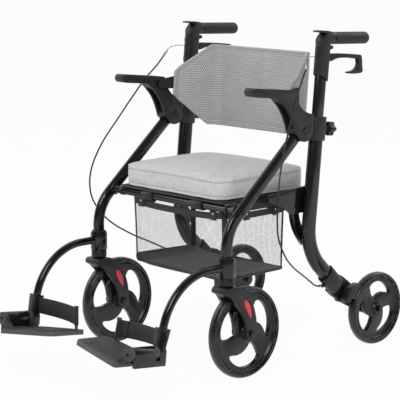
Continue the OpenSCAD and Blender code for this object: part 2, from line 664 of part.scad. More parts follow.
// Thin hood over the top of the housing, which points forward and up
module hood_outline() {
    polygon(concat(
        curve(up_tube(-30, handle_rise + 126), up_tube(-16, handle_rise + 128), up_tube(-6, handle_rise + 127),
            up_tube(2, handle_rise + 122), 5),
        [up_tube(24, handle_rise + 120), up_tube(22, handle_rise + 128)],
        curve(up_tube(14, handle_rise + 131), up_tube(0, handle_rise + 133), up_tube(-16, handle_rise + 133),
            up_tube(-30, handle_rise + 130), 5)));
}
module handle_housing() {
    color(charcoal) difference() {
        union() {
            intersection() {
                side_plate(frame_half - housing_w / 2 - 1, frame_half + housing_w / 2 + 1) housing_outline();
                union() {
                    oval_straight(up_tube(0, handle_rise - 20), lean_up, 150, housing_depth, housing_w);
                    oval_straight(grip_root - 70 * grip_dir, grip_dir, 80, 2 * grip_r + 3, housing_w);
                }
            }
            side_plate(frame_half - housing_w / 2 + 1, frame_half + housing_w / 2 - 1) hood_outline();
            side_plate(frame_half - 6, frame_half + 6) translate(up_tube(30, handle_rise + 86)) circle(7);
            translate([frame_half, grip_root[0], grip_root[1]]) rotate([-90 - grip_droop, 0, 0])
                cylinder(r = grip_r - 5, h = grip_len - 6);
        }
        oval_straight(up_tube(0, handle_rise - 30), lean_up, 30 + tube_in_housing + seat_gap,
            handle_tube_depth + 2 * seat_gap, handle_tube_width + 2 * seat_gap);
        side_plate(frame_half - lever_w / 2 - air, frame_half + lever_w / 2 + air) {
            translate(lever_pivot) circle(15);
            translate(lever_pivot) polygon([[-2, 15], [60, 30], [60, -40], [-2, -15]]);
        }
    }
    color(steel) cross_pin(lever_pivot, frame_half - housing_w / 2 + 2, frame_half + housing_w / 2 - 2, lever_pin_r);
}
// Grip: a revolved rubber sleeve with finger ridges and a round end
module grip() {
    ridge = 1.2;
    color(rubber_black) translate([frame_half, grip_root[0], grip_root[1]]) rotate([-90 - grip_droop, 0, 0])
        translate([0, 0, 5]) difference() {
            rotate_extrude($fn = 72) polygon(concat([[0, 0], [grip_r - 2, 0], [grip_r, 3], [grip_r, 10]],
                [for (i = [0:11]) each [[grip_r, 14 + 9 * i], [grip_r - ridge, 16 + 9 * i], [grip_r - ridge, 20 + 9 * i],
                    [grip_r, 22 + 9 * i]]],
                [[grip_r + 1.5, grip_len - 14], [grip_r + 1.5, grip_len - 10], [grip_r - 3, grip_len - 5], [0, grip_len - 5]]));
            translate([0, 0, -1]) cylinder(r = grip_r - 5 + seat_gap, h = grip_len - 10 + seat_gap);
        }
}
// Lever: a tapered bar under the grip that drops to a flared foot
module brake_lever() {
    p = lever_pivot;
    color(charcoal) side_plate(frame_half - lever_w / 2, frame_half + lever_w / 2) difference() {
        union() {
            polygon(concat(
                arc(p, 12, 250, 80, 10),
                curve(p + [22, 8], p + [62, 7], p + [108, 2], p + [142, -2], 6),
                [p + [148, -5], p + [151, -18]],
                curve(p + [151, -30], p + [152, -38], p + [155, -44], p + [154, -50], 4),
                curve(p + [148, -54], p + [128, -55], p + [104, -55], p + [94, -52], 4),
                curve(p + [92, -48], p + [116, -48], p + [134, -44], p + [137, -28], 5),
                curve(p + [135, -14], p + [78, -5], p + [44, -2], p + [24, -12], 6),
                [p + [8, -13]]));
        }
        translate(p) circle(lever_pin_r + running);
    }
}
// Star knob with five lobes on a threaded stud
module height_knob() {
    start = rear_leg_depth / 2 + clamp_wall + 4;
    color(charcoal) translate([frame_half, clamp_mid[0], clamp_mid[1]]) rotate([-90 - leg_lean, 0, 0]) {
        translate([0, 0, rear_leg_depth / 2 + 0.6]) cylinder(r = knob_r, h = start + 8 - rear_leg_depth / 2);
        translate([0, 0, start + 0.5]) cylinder(r = 10, h = 8);
        translate([0, 0, start + 7]) linear_extrude(22) {
            circle(15);
            for (k = [0:4]) rotate(72 * k) translate([14, 0]) circle(6.5);
        }
        translate([0, 0, start + 28.5]) cylinder(r1 = 15, r2 = 11, h = 4);
    }
}

// Seat

module seat_frame() {
    rail_len = cushion_depth - 40;
    rail_y0 = seat_bar_y;
    board_z = cushion_z - 7;
    color(black_gloss) {
        for (s = [-1, 1]) difference() {
            union() {
                translate([s * rail_x - rail_t / 2, rail_y0, board_z - rail_h]) cube([rail_t, rail_len - 14, rail_h]);
                translate([s * rail_x - rail_t / 2, seat_bar_y, seat_bar_z]) rotate([0, 90, 0])
                    cylinder(r = seat_bar_r + 2, h = rail_t);
            }
            translate([s * rail_x - rail_t, seat_bar_y, seat_bar_z]) rotate([0, 90, 0])
                cylinder(r = seat_bar_r + running, h = 2 * rail_t);
        }
        for (s = [-1, 1]) difference() {
            translate([s * 100 - 22, seat_bar_y, seat_bar_z]) rotate([0, 90, 0]) cylinder(r = seat_bar_r + 4, h = 44);
            translate([s * 100 - 30, seat_bar_y, seat_bar_z]) rotate([0, 90, 0])
                cylinder(r = seat_bar_r + running, h = 60);
        }
        translate([-cushion_half + 8, cushion_front_y + 14, board_z])
            cube([2 * cushion_half - 16, cushion_depth - 28, 6.8]);
        translate([-rail_x, rail_y0 + rail_len - 30, board_z - 12]) cube([2 * rail_x, 16, 12]);
        for (s = [-1, 1]) translate([s * 100 - 22, seat_bar_y - 6, seat_bar_z + seat_bar_r + 1])
            cube([44, 60, board_z - seat_bar_z - seat_bar_r - 1]);
    }
}

// Cushion: a box-sided pad with drawn-in sides and a crown, built as rings of a rounded rectangle
function pad_ring(half_x, half_y, r, pull, z, cy) = [for (q = [0:3]) let (
    sx = q == 0 || q == 3 ? 1 : -1, sy = q < 2 ? 1 : -1, a0 = 90 * q,
    run = q % 2 == 0 ? half_x - r : half_y - r)
    each concat(
        [for (i = [0:5]) let (a = a0 + 18 * i) [sx * (half_x - r) + r * cos(a), cy + sy * (half_y - r) + r * sin(a), z]],
        [for (i = [1:5]) let (t = i / 6, d = pull * sin(180 * t), e = run * (1 - 2 * t))
            q == 0 ? [e, cy + half_y - d, z] : q == 1 ? [-half_x + d, cy + e, z] :
            q == 2 ? [-e, cy - half_y + d, z] : [half_x - d, cy - e, z]])];
module seat_cushion() {
    hx = cushion_half;
    hy = cushion_depth / 2;
    cy = cushion_front_y + hy;
    steps = [[-9, 0, 0.4], [-2, 0.12, 0.7], [0, 0.4, 1], [0, 0.75, 1], [-2, 1, 0.9], [-10, 1.06, 0.7]];
    crowns = [0.86, 0.66, 0.4, 0.16];
    rings = concat(
        [for (s = steps) pad_ring(hx + s[0], hy + s[0], cushion_corner_r, 7 * s[2], cushion_z + cushion_side * s[1], cy)],
        [for (k = crowns) pad_ring(hx * k, hy * k, cushion_corner_r * k, 3 * k,
            cushion_z + cushion_side * 1.06 + (cushion_crown - cushion_side * 0.06) * (1 - k * k * k), cy)]);
    n = len(rings[0]);
    m = len(rings);
    low = [0, cy, cushion_z];
    high = [0, cy, cushion_z + cushion_side + cushion_crown];
    points = concat([for (r = rings) each r], [low, high]);
    walls = [for (k = [0:m - 2], j = [0:n - 1]) let (a = k * n + j, b = k * n + (j + 1) % n)
        each [[a, a + n, b + n], [a, b + n, b]]];
    base = [for (j = [0:n - 1]) [m * n, j, (j + 1) % n]];
    cap = [for (j = [0:n - 1]) let (k = (m - 1) * n) [m * n + 1, k + (j + 1) % n, k + j]];
    color(linen) polyhedron(points, concat(walls, base, cap));
}

// Backrest

// Plan of the backrest's band: straight back, round corners, splayed wings and short straight ends
wing_y = band_end_y + 18;
back_corner_y = back_rear_y - back_corner_r;
back_corner_x = back_half - back_corner_r * cos(wing_angle)
    - (back_corner_y + back_corner_r * sin(wing_angle) - wing_y) * tan(wing_angle);
module band_plan(inset) {
    side = concat(
        arc([back_corner_x, back_corner_y], back_corner_r - inset, 90, wing_angle),
        [[back_half - inset, wing_y - inset * tan(wing_angle / 2)], [back_half - inset, band_end_y - 4 * inset]]);
    polygon(concat(side, [for (i = [len(side) - 1:-1:0]) [-side[i][0], side[i][1]]]));
}
module backrest_panel() {
    mid = (back_z0 + back_z1) / 2;
    taper_y = back_corner_y + 10;
    end_z = hinge_z - (back_rear_y - band_end_y) * sin(back_lean);
    color(mesh_grey) translate([0, back_rear_y, mid]) rotate([-back_lean, 0, 0]) translate([0, -back_rear_y, -mid]) intersection() {
        translate([0, 0, back_z0]) linear_extrude(back_z1 - back_z0) difference() {
            band_plan(0);
            band_plan(back_t);
        }
        side_plate(-back_half - 10, back_half + 10) polygon([
            [band_end_y, end_z - back_end_h / 2], [taper_y, back_z0], [back_rear_y + 10, back_z0],
            [back_rear_y + 10, back_z1], [taper_y, back_z1], [band_end_y, end_z + back_end_h / 2]]);
    }
}
hinge_pin_r = 5;
// Hinge plates at the ends of the backrest, each on a pin in the armrest's inner side
module backrest_hinges() {
    inner = frame_half - arm_half;
    color(charcoal) for (s = [0, 1]) mirror([s, 0, 0]) {
        side_plate(back_half + seat_gap, inner - air) {
            translate([hinge_y, hinge_z]) circle(14);
            polygon([[hinge_y, hinge_z - 14], [band_end_y + 26, hinge_z - 20], [band_end_y + 26, hinge_z + 20],
                [hinge_y, hinge_z + 14]]);
        }
        cross_pin([hinge_y, hinge_z], inner - 2, inner + cheek_t + 4, hinge_pin_r);
    }
}

// Footrests

// The tilted frame of the hinge: x to the left, y up from the plate, z forward along the pin
module hinge_frame() {
    translate([frame_half, hinge_rear[0], hinge_rear[1]]) rotate([90 - foot_tilt, 0, 0]) children();
}
module box_section() {
    circle(hinge_box_r);
    translate([-hinge_box_r, -box_in]) square([2 * hinge_box_r, box_in]);
}
// Hanger: a collar on the journal, a bent tube, and the round-topped box of the footplate's hinge
module footrest_hanger() {
    color(black_gloss) difference() {
        union() {
            translate([frame_half, swivel_y, collar_z0]) cylinder(r = journal_r + 7, h = collar_h);
            translate([frame_half, swivel_y, hanger_z]) rotate([90, 0, 0])
                cylinder(r = hanger_r, h = swivel_y - hanger_start[0]);
            translate([frame_half, hanger_centre[0], hanger_centre[1]]) rotate([90, 0, 90]) rotate(90)
                rotate_extrude(angle = hanger_turn, $fn = 96) translate([hanger_bend_r, 0]) circle(hanger_r);
            translate([frame_half, hanger_end[0], hanger_end[1]]) rotate([90 + hanger_turn, 0, 0])
                cylinder(r = hanger_r, h = 30);
        }
        translate([frame_half, swivel_y, collar_z0 - 1]) cylinder(r = journal_r + running, h = collar_h + 2);
    }
    color(charcoal) {
        side_plate(frame_half - hanger_r - 4, frame_half + hanger_r + 4) polygon([
            hanger_end + [13, -4], hanger_end + [-14, 3], hinge_rear + [-18, 12], hinge_rear + [-20, -31],
            hinge_rear + [-12, -33], hinge_rear + [-3, 4]]);
        hinge_frame() {
            linear_extrude(knuckle) box_section();
            translate([0, 0, knuckle_end]) linear_extrude(hinge_box_len - knuckle_end) box_section();
            linear_extrude(hinge_box_len) translate([8, -box_drop]) square([hinge_box_r - 8, box_drop - hinge_box_r - 1]);
            translate([0, 0, 2]) cylinder(r = foot_pin_r, h = hinge_box_len + nose_knuckle - 4);
        }
    }
}
// Heel strap from the hanger to the post on the footplate
post_side = 178;
post_x = frame_half - post_side * cos(plate_roll) + plate_top * sin(plate_roll);
post_r = 4;
post_up = post_side * sin(plate_roll) + plate_top * cos(plate_roll);
post_at = hinge_rear + 2 * foot_along + post_up * foot_up;
module heel_strap() {
    inner = frame_half - hanger_r - 4 - seat_gap;
    color(rubber_black) translate([0, 0, hinge_rear[1] + 12]) linear_extrude(46) polygon([
        [inner, hinge_rear[0] - 3], [inner, hinge_rear[0]], [post_x, post_at[0] + post_r + 15.4],
        [post_x, post_at[0] + post_r + 12.4]]);
}
// A knuckle of the footplate: a ring round the hinge pin with a web down to the plate
module plate_knuckle() {
    circle(hinge_box_r);
    polygon([[-hinge_box_r, 0], [-4, -hinge_box_r + 1], [-plate_edge, plate_top], [-plate_edge, plate_top - plate_t],
        [-plate_edge - 26, plate_top - plate_t], [-plate_edge - 26, plate_top]]);
}
// Ribbed footplate on two knuckles round the hinge pin, with the heel strap's post
module footplate() {
    color(charcoal) hinge_frame() rotate([0, 0, -plate_roll]) difference() {
        union() {
            translate([0, 0, knuckle + air]) linear_extrude(knuckle_end - knuckle - 2 * air) plate_knuckle();
            translate([0, 0, hinge_box_len + air]) linear_extrude(nose_knuckle) plate_knuckle();
            translate([0, plate_top, 0]) rotate([90, 0, 0]) linear_extrude(plate_t) polygon([
                [-plate_edge, 2], [-plate_edge - 30, -6], [-plate_w + 18, -6], [-plate_w, 10],
                [-plate_w + 6, hinge_box_len - 2], [-plate_w + 18, hinge_box_len + 11],
                [-plate_edge - 7, plate_nose], [-plate_edge, plate_nose - 6]]);
            for (k = [0:11]) translate([-plate_w + 28, plate_top - 0.5, 12 + 8.5 * k])
                cube([plate_w - 68, 2, 3.5]);
            translate([-post_side, plate_top - 4, 2]) rotate([-90, 0, 0]) {
                cylinder(r = post_r, h = 68);
                translate([0, 0, 62]) cylinder(r = post_r + 3, h = 5);
            }
        }
        translate([0, 0, knuckle - 1]) cylinder(r = foot_pin_r + running, h = plate_nose);
    }
}

// Basket

// Mesh bag with an open top, narrower at its floor, hung by tabs from the two seat tubes
module basket() {
    y0 = seat_bar_y + seat_bar_r + 0.3;
    y1 = rear_tube_y - seat_bar_r - 18;
    z1 = seat_bar_z - seat_bar_r - 12;
    color("#8d9092") {
        difference() {
            hull() {
                translate([-basket_half, y0, z1 - 2]) cube([2 * basket_half, y1 - y0, 2]);
                translate([-basket_half + 4, y0 + 4, basket_z]) cube([2 * basket_half - 8, y1 - y0 - 6, 2]);
            }
            hull() {
                translate([-basket_half + cloth_t, y0 + cloth_t, z1 + 1])
                    cube([2 * basket_half - 2 * cloth_t, y1 - y0 - 2 * cloth_t, 2]);
                translate([-basket_half + 4 + cloth_t, y0 + 4 + cloth_t, basket_z + cloth_t])
                    cube([2 * basket_half - 8 - 2 * cloth_t, y1 - y0 - 6 - 2 * cloth_t, 2]);
            }
        }
        for (s = [-1, 1]) {
            translate([s * (basket_half - 14) - 10, y0, z1 - 20]) cube([20, cloth_t, seat_bar_z - z1 + 20]);
            translate([s * (basket_half - 14) - 10, y1 - cloth_t, z1 - 20]) cube([20, cloth_t, 20 + 14]);
            translate([s * (basket_half - 14) - 10, y1 - cloth_t, z1 + 12])
                cube([20, rear_tube_y - seat_bar_r - air - y1 + cloth_t, cloth_t]);
        }
    }
}

placed() rear_leg();  // rear_leg_left
placed() right_side() rear_leg();  // rear_leg_right
placed() leg_clamp();  // leg_clamp_left
placed() right_side() leg_clamp();  // leg_clamp_right
placed() rear_bracket();  // rear_bracket_left
placed() right_side() rear_bracket();  // rear_bracket_right
placed() rear_cross_tube();
placed() seat_stay();  // seat_stay_left
placed() right_side() seat_stay();  // seat_stay_right
placed() rear_frame_bolts();
placed() brake_cable();  // brake_cable_left
placed() right_side() brake_cable();  // brake_cable_right
placed() basket();
placed() front_leg();  // front_leg_left
placed() right_side() front_leg();  // front_leg_right
placed() armrest();  // armrest_left
placed() right_side() armrest();  // armrest_right
placed() caster_housing();  // caster_housing_left
placed() right_side() caster_housing();  // caster_housing_right
placed() seat_hinge_bar();
placed() front_frame_bolts();
placed() seat_frame();
placed() seat_cushion();
placed() backrest_panel();
placed() backrest_hinges();
placed() fork();  // fork_left
placed() right_side() fork();  // fork_right
placed() fork_insert();  // fork_insert_left
placed() right_side() fork_insert();  // fork_insert_right
placed() front_axle();  // front_axle_left
placed() right_side() front_axle();  // front_axle_right
placed() front_tyre();  // front_tyre_left
placed() right_side() front_tyre();  // front_tyre_right
placed() front_rim();  // front_rim_left
placed() right_side() front_rim();  // front_rim_right
placed() rear_tyre();  // rear_tyre_left
placed() right_side() rear_tyre();  // rear_tyre_right
placed() rear_rim();  // rear_rim_left
placed() right_side() rear_rim();  // rear_rim_right
placed() brake_shoe();  // brake_shoe_left
placed() right_side() brake_shoe();  // brake_shoe_right
placed() handle_tube();  // handle_tube_left
placed() right_side() handle_tube();  // handle_tube_right
placed() handle_housing();  // handle_housing_left
placed() right_side() handle_housing();  // handle_housing_right
placed() grip();  // grip_left
placed() right_side() grip();  // grip_right
placed() brake_lever();  // brake_lever_left
placed() right_side() brake_lever();  // brake_lever_right
placed() height_knob();  // height_knob_left
placed() right_side() height_knob();  // height_knob_right
placed() footrest_hanger();  // footrest_hanger_left
placed() right_side() footrest_hanger();  // footrest_hanger_right
placed() heel_strap();  // heel_strap_left
placed() right_side() heel_strap();  // heel_strap_right
placed() footplate();  // footplate_left
placed() right_side() footplate();  // footplate_right
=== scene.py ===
"""A folding rollator that is also a transport chair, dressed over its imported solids."""
import json
import math

import bpy
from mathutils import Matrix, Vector
from mathutils.geometry import interpolate_bezier

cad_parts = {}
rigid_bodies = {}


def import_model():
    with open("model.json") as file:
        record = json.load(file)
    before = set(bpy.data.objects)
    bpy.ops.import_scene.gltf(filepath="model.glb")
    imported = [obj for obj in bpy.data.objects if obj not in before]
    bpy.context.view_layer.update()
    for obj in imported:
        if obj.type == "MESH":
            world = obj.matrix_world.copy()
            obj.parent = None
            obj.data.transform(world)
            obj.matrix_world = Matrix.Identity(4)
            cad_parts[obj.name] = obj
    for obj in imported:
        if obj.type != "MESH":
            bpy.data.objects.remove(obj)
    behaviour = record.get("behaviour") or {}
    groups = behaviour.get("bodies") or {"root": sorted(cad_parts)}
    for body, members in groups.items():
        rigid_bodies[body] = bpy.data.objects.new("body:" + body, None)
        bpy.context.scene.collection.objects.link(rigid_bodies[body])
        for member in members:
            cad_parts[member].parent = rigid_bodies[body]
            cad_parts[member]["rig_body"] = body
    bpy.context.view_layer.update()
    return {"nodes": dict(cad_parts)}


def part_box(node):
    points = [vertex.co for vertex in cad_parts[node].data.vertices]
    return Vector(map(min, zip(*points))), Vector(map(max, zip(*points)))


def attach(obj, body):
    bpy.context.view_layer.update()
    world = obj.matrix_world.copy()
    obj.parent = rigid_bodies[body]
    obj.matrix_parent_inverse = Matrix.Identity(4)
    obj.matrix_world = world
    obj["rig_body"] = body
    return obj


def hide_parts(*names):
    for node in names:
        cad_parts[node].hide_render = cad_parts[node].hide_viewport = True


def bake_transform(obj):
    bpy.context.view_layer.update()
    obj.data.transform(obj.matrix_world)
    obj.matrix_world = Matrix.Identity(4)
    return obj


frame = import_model()
bpy.ops.object.select_all(action="DESELECT")

# Camera
# A long lens, 46 degrees round from the chair's front towards its left side and 10 degrees above the floor.
bpy.ops.object.camera_add(location=(3.28695, -3.17776, 1.26072))
camera = bpy.context.object
camera.data.sensor_width = 36
camera.data.lens = 147.17
aim = Vector((0.0109, -0.01884, 0.450)) - camera.location
camera.rotation_euler = aim.to_track_quat("-Z", "Y").to_euler()
bpy.context.scene.camera = camera
bpy.context.scene.view_settings.view_transform = "Standard"


# Brake cables
# Each is a steel wire in a black PVC sheath, 4.8 mm thick. The bare wire leaves the front of a handle
# housing and dips into the sheath, which bows out past the armrest and the front leg and comes back in to
# the stop on the rear bracket. A crimped ferrule closes the sheath at each end.
def spot(x, y, z):
    """A point of the drawing, in millimetres, as a point of the frame in metres."""
    return Vector((x / 1000, (y + 174.2506) / 1000, z / 1000))


def linear(colour):
    """An sRGB hex colour as the linear red, green, blue and alpha of a socket."""
    shares = [int(colour[i:i + 2], 16) / 255 for i in (1, 3, 5)]
    return [s / 12.92 if s <= 0.04045 else ((s + 0.055) / 1.055) ** 2.4 for s in shares] + [1.0]


def add_node(material, kind, sockets, **settings):
    """Adds a shader node with its settings. A socket is given a value, or another node's output to link."""
    made = material.node_tree.nodes.new("ShaderNode" + kind)
    for name, value in settings.items():
        setattr(made, name, value)
    for key, value in sockets.items():
        if isinstance(value, bpy.types.NodeSocket):
            material.node_tree.links.new(value, made.inputs[key])
        else:
            made.inputs[key].default_value = value
    return made


def bare_material(name):
    """A material with an empty node tree."""
    made = bpy.data.materials.new(name)
    made.use_nodes = True
    made.node_tree.nodes.clear()
    return made


def pick_faces(piece, wanted):
    """Opens the active piece in edit mode with those faces selected whose normal is wanted."""
    bpy.ops.object.mode_set(mode="EDIT")
    bpy.ops.mesh.select_mode(type="FACE")
    bpy.ops.mesh.select_all(action="DESELECT")
    bpy.ops.object.mode_set(mode="OBJECT")
    for face in piece.data.polygons:
        face.select = wanted(face.normal)
    bpy.ops.object.mode_set(mode="EDIT")


# Extruded PVC: nearly black, a soft gloss, and a faint ripple from the die about every 6 mm.
cable_pvc = bare_material("cable_pvc")
place = add_node(cable_pvc, "TexCoord", {})
ripple = add_node(cable_pvc, "TexNoise", {"Vector": place.outputs["Object"], "Scale": 1000 / 6,
                                          "Detail": 2}).outputs["Fac"]
tint = add_node(cable_pvc, "Mix", {0: ripple, 6: linear("#0a0a0b"),
                                   7: linear("#161718")}, data_type="RGBA").outputs[2]
gloss = add_node(cable_pvc, "MapRange", {"Value": ripple, "To Min": 0.28, "To Max": 0.42}).outputs[0]
relief = add_node(cable_pvc, "Bump", {"Height": ripple, "Strength": 0.15, "Distance": 0.0005}).outputs[0]
skin = add_node(cable_pvc, "BsdfPrincipled", {"Base Color": tint, "Roughness": gloss, "Normal": relief,
                                              "IOR": 1.53})
add_node(cable_pvc, "OutputMaterial", {"Surface": skin.outputs[0]})

# Nickel-plated brass ferrule: bright, with fine turning marks about 0.4 mm apart.
ferrule_nickel = bare_material("ferrule_nickel")
place = add_node(ferrule_nickel, "TexCoord", {})
marks = add_node(ferrule_nickel, "TexNoise", {"Vector": place.outputs["Object"], "Scale": 1000 / 0.4,
                                              "Detail": 1}).outputs["Fac"]
tint = add_node(ferrule_nickel, "Mix", {0: marks, 6: linear("#8d8f92"),
                                        7: linear("#c4c6c8")}, data_type="RGBA").outputs[2]
gloss = add_node(ferrule_nickel, "MapRange", {"Value": marks, "To Min": 0.2, "To Max": 0.4}).outputs[0]
skin = add_node(ferrule_nickel, "BsdfPrincipled", {"Base Color": tint, "Roughness": gloss, "Metallic": 1.0})
add_node(ferrule_nickel, "OutputMaterial", {"Surface": skin.outputs[0]})

cable_route = [
    (262, 10.2, 856), (266, -12, 861), (274, -35, 857.5), (281, -47, 848), (286, -57, 831), (293, -81, 801),
    (306, -111, 767), (322, -148, 715), (340, -192, 650), (362, -235, 580), (378, -262, 510),
    (382, -268, 452), (376, -256, 400), (360, -212, 342), (334, -150, 298), (306, -85, 264), (284, -30, 234),
    (268, 12, 212), (262, 44, 204)]
cable_r = 0.0024
wire_share = 0.35
sheath_start = 4
ferrule_r = 0.0037
for side, sign in (("left", 1), ("right", -1)):
    knots = [spot(sign * x, y, z) for x, y, z in cable_route]
    bpy.ops.curve.primitive_bezier_curve_add()
    cable = bpy.context.object
    cable.name = "cable_" + side
    cable.matrix_world.identity()
    line = cable.data.splines[0]
    line.bezier_points.add(len(knots) - 2)
    centre_line = []
    for i, knot in enumerate(knots):
        lead = (knots[min(i + 1, len(knots) - 1)] - knots[max(i - 1, 0)]) / 6
        bend = line.bezier_points[i]
        bend.handle_left_type = "FREE"
        bend.handle_right_type = "FREE"
        bend.co = knot
        bend.handle_left = knot - lead
        bend.handle_right = knot + lead
        bend.radius = wire_share if i < sheath_start else 1.0
    for one, two in zip(line.bezier_points[:-1], line.bezier_points[1:]):
        centre_line += interpolate_bezier(one.co, one.handle_right, two.handle_left, two.co, 13)[:-1]
    centre_line.append(knots[-1])
    cable.data.bevel_depth = cable_r
    cable.data.bevel_resolution = 4
    cable.data.resolution_u = 12
    cable.data.use_fill_caps = True
    bpy.ops.object.convert(target="MESH")
    bpy.ops.object.shade_smooth_by_angle(angle=math.radians(50))
    cable.data.materials.clear()
    cable.data.materials.append(cable_pvc)
    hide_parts("brake_cable_" + side)
    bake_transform(cable)
    run = sum((b - a).length for a, b in zip(centre_line[:-1], centre_line[1:]))
    for name, end, toward, long, body in (("top_", sheath_start - 1, sheath_start, 0.020, "handle_" + side),
                                          ("foot_", -1, -2, 0.011, "rear_frame")):
        out = (knots[toward] - knots[end]).normalized()
        bpy.ops.object.select_all(action="DESELECT")
        bpy.ops.mesh.primitive_cylinder_add(vertices=32, radius=ferrule_r, depth=long, end_fill_type="NGON",
                                            location=knots[end] + long / 2 * out,
                                            rotation=out.to_track_quat("Z", "Y").to_euler())
        ferrule = bpy.context.object
        ferrule.name = "cable_ferrule_" + name + side
        pick_faces(ferrule, lambda normal: normal.z > 0.9)
        bpy.ops.mesh.inset(thickness=0.0004)
        bpy.ops.mesh.extrude_region_move(TRANSFORM_OT_translate={"value": 0.003 * out})
        bpy.ops.mesh.inset(thickness=0.0005)
        bpy.ops.mesh.extrude_region_move(TRANSFORM_OT_translate={"value": -0.0012 * out})
        bpy.ops.object.mode_set(mode="OBJECT")
        bpy.ops.object.transform_apply(location=True, rotation=True, scale=True)
        rim = ferrule.modifiers.new("eased rim", "BEVEL")
        rim.width = 0.0003
        rim.segments = 2
        bpy.ops.object.modifier_apply(modifier="eased rim")
        bpy.ops.object.shade_smooth_by_angle(angle=math.radians(35))
        ferrule.data.materials.append(ferrule_nickel)
        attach(ferrule, body)


# Frame tubes
# Legs, handle tubes, cross tubes and footrest hangers are bent aluminium tube, powder coated in gloss black
# after bending. They are held by the mouldings and by bolts through their walls.
def pick(piece):
    """Makes a piece the active object and the only selected one."""
    bpy.ops.object.select_all(action="DESELECT")
    piece.select_set(True)
    bpy.context.view_layer.objects.active = piece


def worn_and_highlit_edges(material, low, high):
    """How sharp an edge the surface is on, from 0 at the pointiness low to 1 at high. It lightens sharp
    edges, partly as wear and partly as a painted highlight.
    """
    shape = add_node(material, "NewGeometry", {})
    sockets = {"Value": shape.outputs["Pointiness"], "From Min": low, "From Max": high}
    return add_node(material, "MapRange", sockets).outputs[0]


def dress(node, finish, edge=0.6, corner=40):
    """Stands a merged copy of a solid in its place, with its sharp edges rounded over by edge millimetres."""
    solid = frame["nodes"][node]
    piece = bpy.data.objects.new("dressed_" + node, solid.data.copy())
    bpy.context.scene.collection.objects.link(piece)
    pick(piece)
    bpy.ops.object.mode_set(mode="EDIT")
    bpy.ops.mesh.select_all(action="SELECT")
    bpy.ops.mesh.remove_doubles(threshold=0.00001)
    bpy.ops.mesh.dissolve_limited(angle_limit=math.radians(0.3))
    bpy.ops.object.mode_set(mode="OBJECT")
    if edge > 0:
        rounded = piece.modifiers.new("rounded edges", "BEVEL")
        rounded.width = edge / 1000
        rounded.segments = 2
        rounded.limit_method = "ANGLE"
        rounded.angle_limit = math.radians(corner)
        bpy.ops.object.modifier_apply(modifier="rounded edges")
    bpy.ops.object.shade_smooth_by_angle(angle=math.radians(corner))
    piece.data.materials.clear()
    piece.data.materials.append(finish)
    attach(piece, solid["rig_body"])
    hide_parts(node)
    return piece


# Gloss powder coat: a deep black film with the orange peel of the baked powder, about 3 mm from crest to
# crest, and a haze that comes and goes over some 40 mm where the tube was wiped. Sharp edges are greyer,
# partly where the film is thinner and worn and partly as a painted highlight.
gloss_powder_coat = bare_material("gloss_powder_coat")
place = add_node(gloss_powder_coat, "TexCoord", {})
peel = add_node(gloss_powder_coat, "TexNoise", {"Vector": place.outputs["Object"], "Scale": 1000 / 3,
                                                "Detail": 2}).outputs["Fac"]
haze = add_node(gloss_powder_coat, "TexNoise", {"Vector": place.outputs["Object"], "Scale": 1000 / 40,
                                                "Detail": 3}).outputs["Fac"]
edges = worn_and_highlit_edges(gloss_powder_coat, 0.52, 0.62)
film = add_node(gloss_powder_coat, "Mix", {0: haze, 6: linear("#08080a"),
                                           7: linear("#111113")}, data_type="RGBA").outputs[2]
# Sharp edges are painted lighter, partly as thinner worn film and partly as a painted highlight.
tint = add_node(gloss_powder_coat, "Mix", {0: edges, 6: film,
                                           7: linear("#222426")}, data_type="RGBA").outputs[2]
gloss = add_node(gloss_powder_coat, "MapRange", {"Value": haze, "To Min": 0.1, "To Max": 0.2}).outputs[0]
relief = add_node(gloss_powder_coat, "Bump", {"Height": peel, "Strength": 0.06,
                                              "Distance": 0.0005}).outputs[0]
skin = add_node(gloss_powder_coat, "BsdfPrincipled", {"Base Color": tint, "Roughness": gloss,
                                                      "Normal": relief, "IOR": 1.5,
                                                      "Specular IOR Level": 0.5})
add_node(gloss_powder_coat, "OutputMaterial", {"Surface": skin.outputs[0]})
for node in ("rear_leg", "front_leg", "handle_tube", "footrest_hanger", "seat_stay"):
    for side in ("left", "right"):
        dress(node + "_" + side, gloss_powder_coat, edge=0.5)
for node in ("rear_cross_tube", "seat_hinge_bar"):
    dress(node, gloss_powder_coat, edge=0.5)


# Mouldings
# Clamps, brackets, armrests, caster housings, forks, knobs, brake levers and shoes, the seat frame and the
# backrest's hinges are glass filled nylon, injection moulded in charcoal and pressed or screwed onto the
# tubes. The tool's spark-eroded face leaves a fine grain, drawn here at 1.6 mm so that it shows, and a
# satin sheen. Sharp edges are painted a little lighter, partly as wear and partly as a painted highlight.
satin_nylon = bare_material("satin_nylon")
place = add_node(satin_nylon, "TexCoord", {})
grain = add_node(satin_nylon, "TexNoise", {"Vector": place.outputs["Object"], "Scale": 1000 / 1.6,
                                           "Detail": 3}).outputs["Fac"]
flow = add_node(satin_nylon, "TexNoise", {"Vector": place.outputs["Object"], "Scale": 1000 / 55,
                                          "Detail": 2}).outputs["Fac"]
edges = worn_and_highlit_edges(satin_nylon, 0.52, 0.62)
body_tint = add_node(satin_nylon, "Mix", {0: flow, 6: linear("#111113"),
                                          7: linear("#1c1d1f")}, data_type="RGBA").outputs[2]
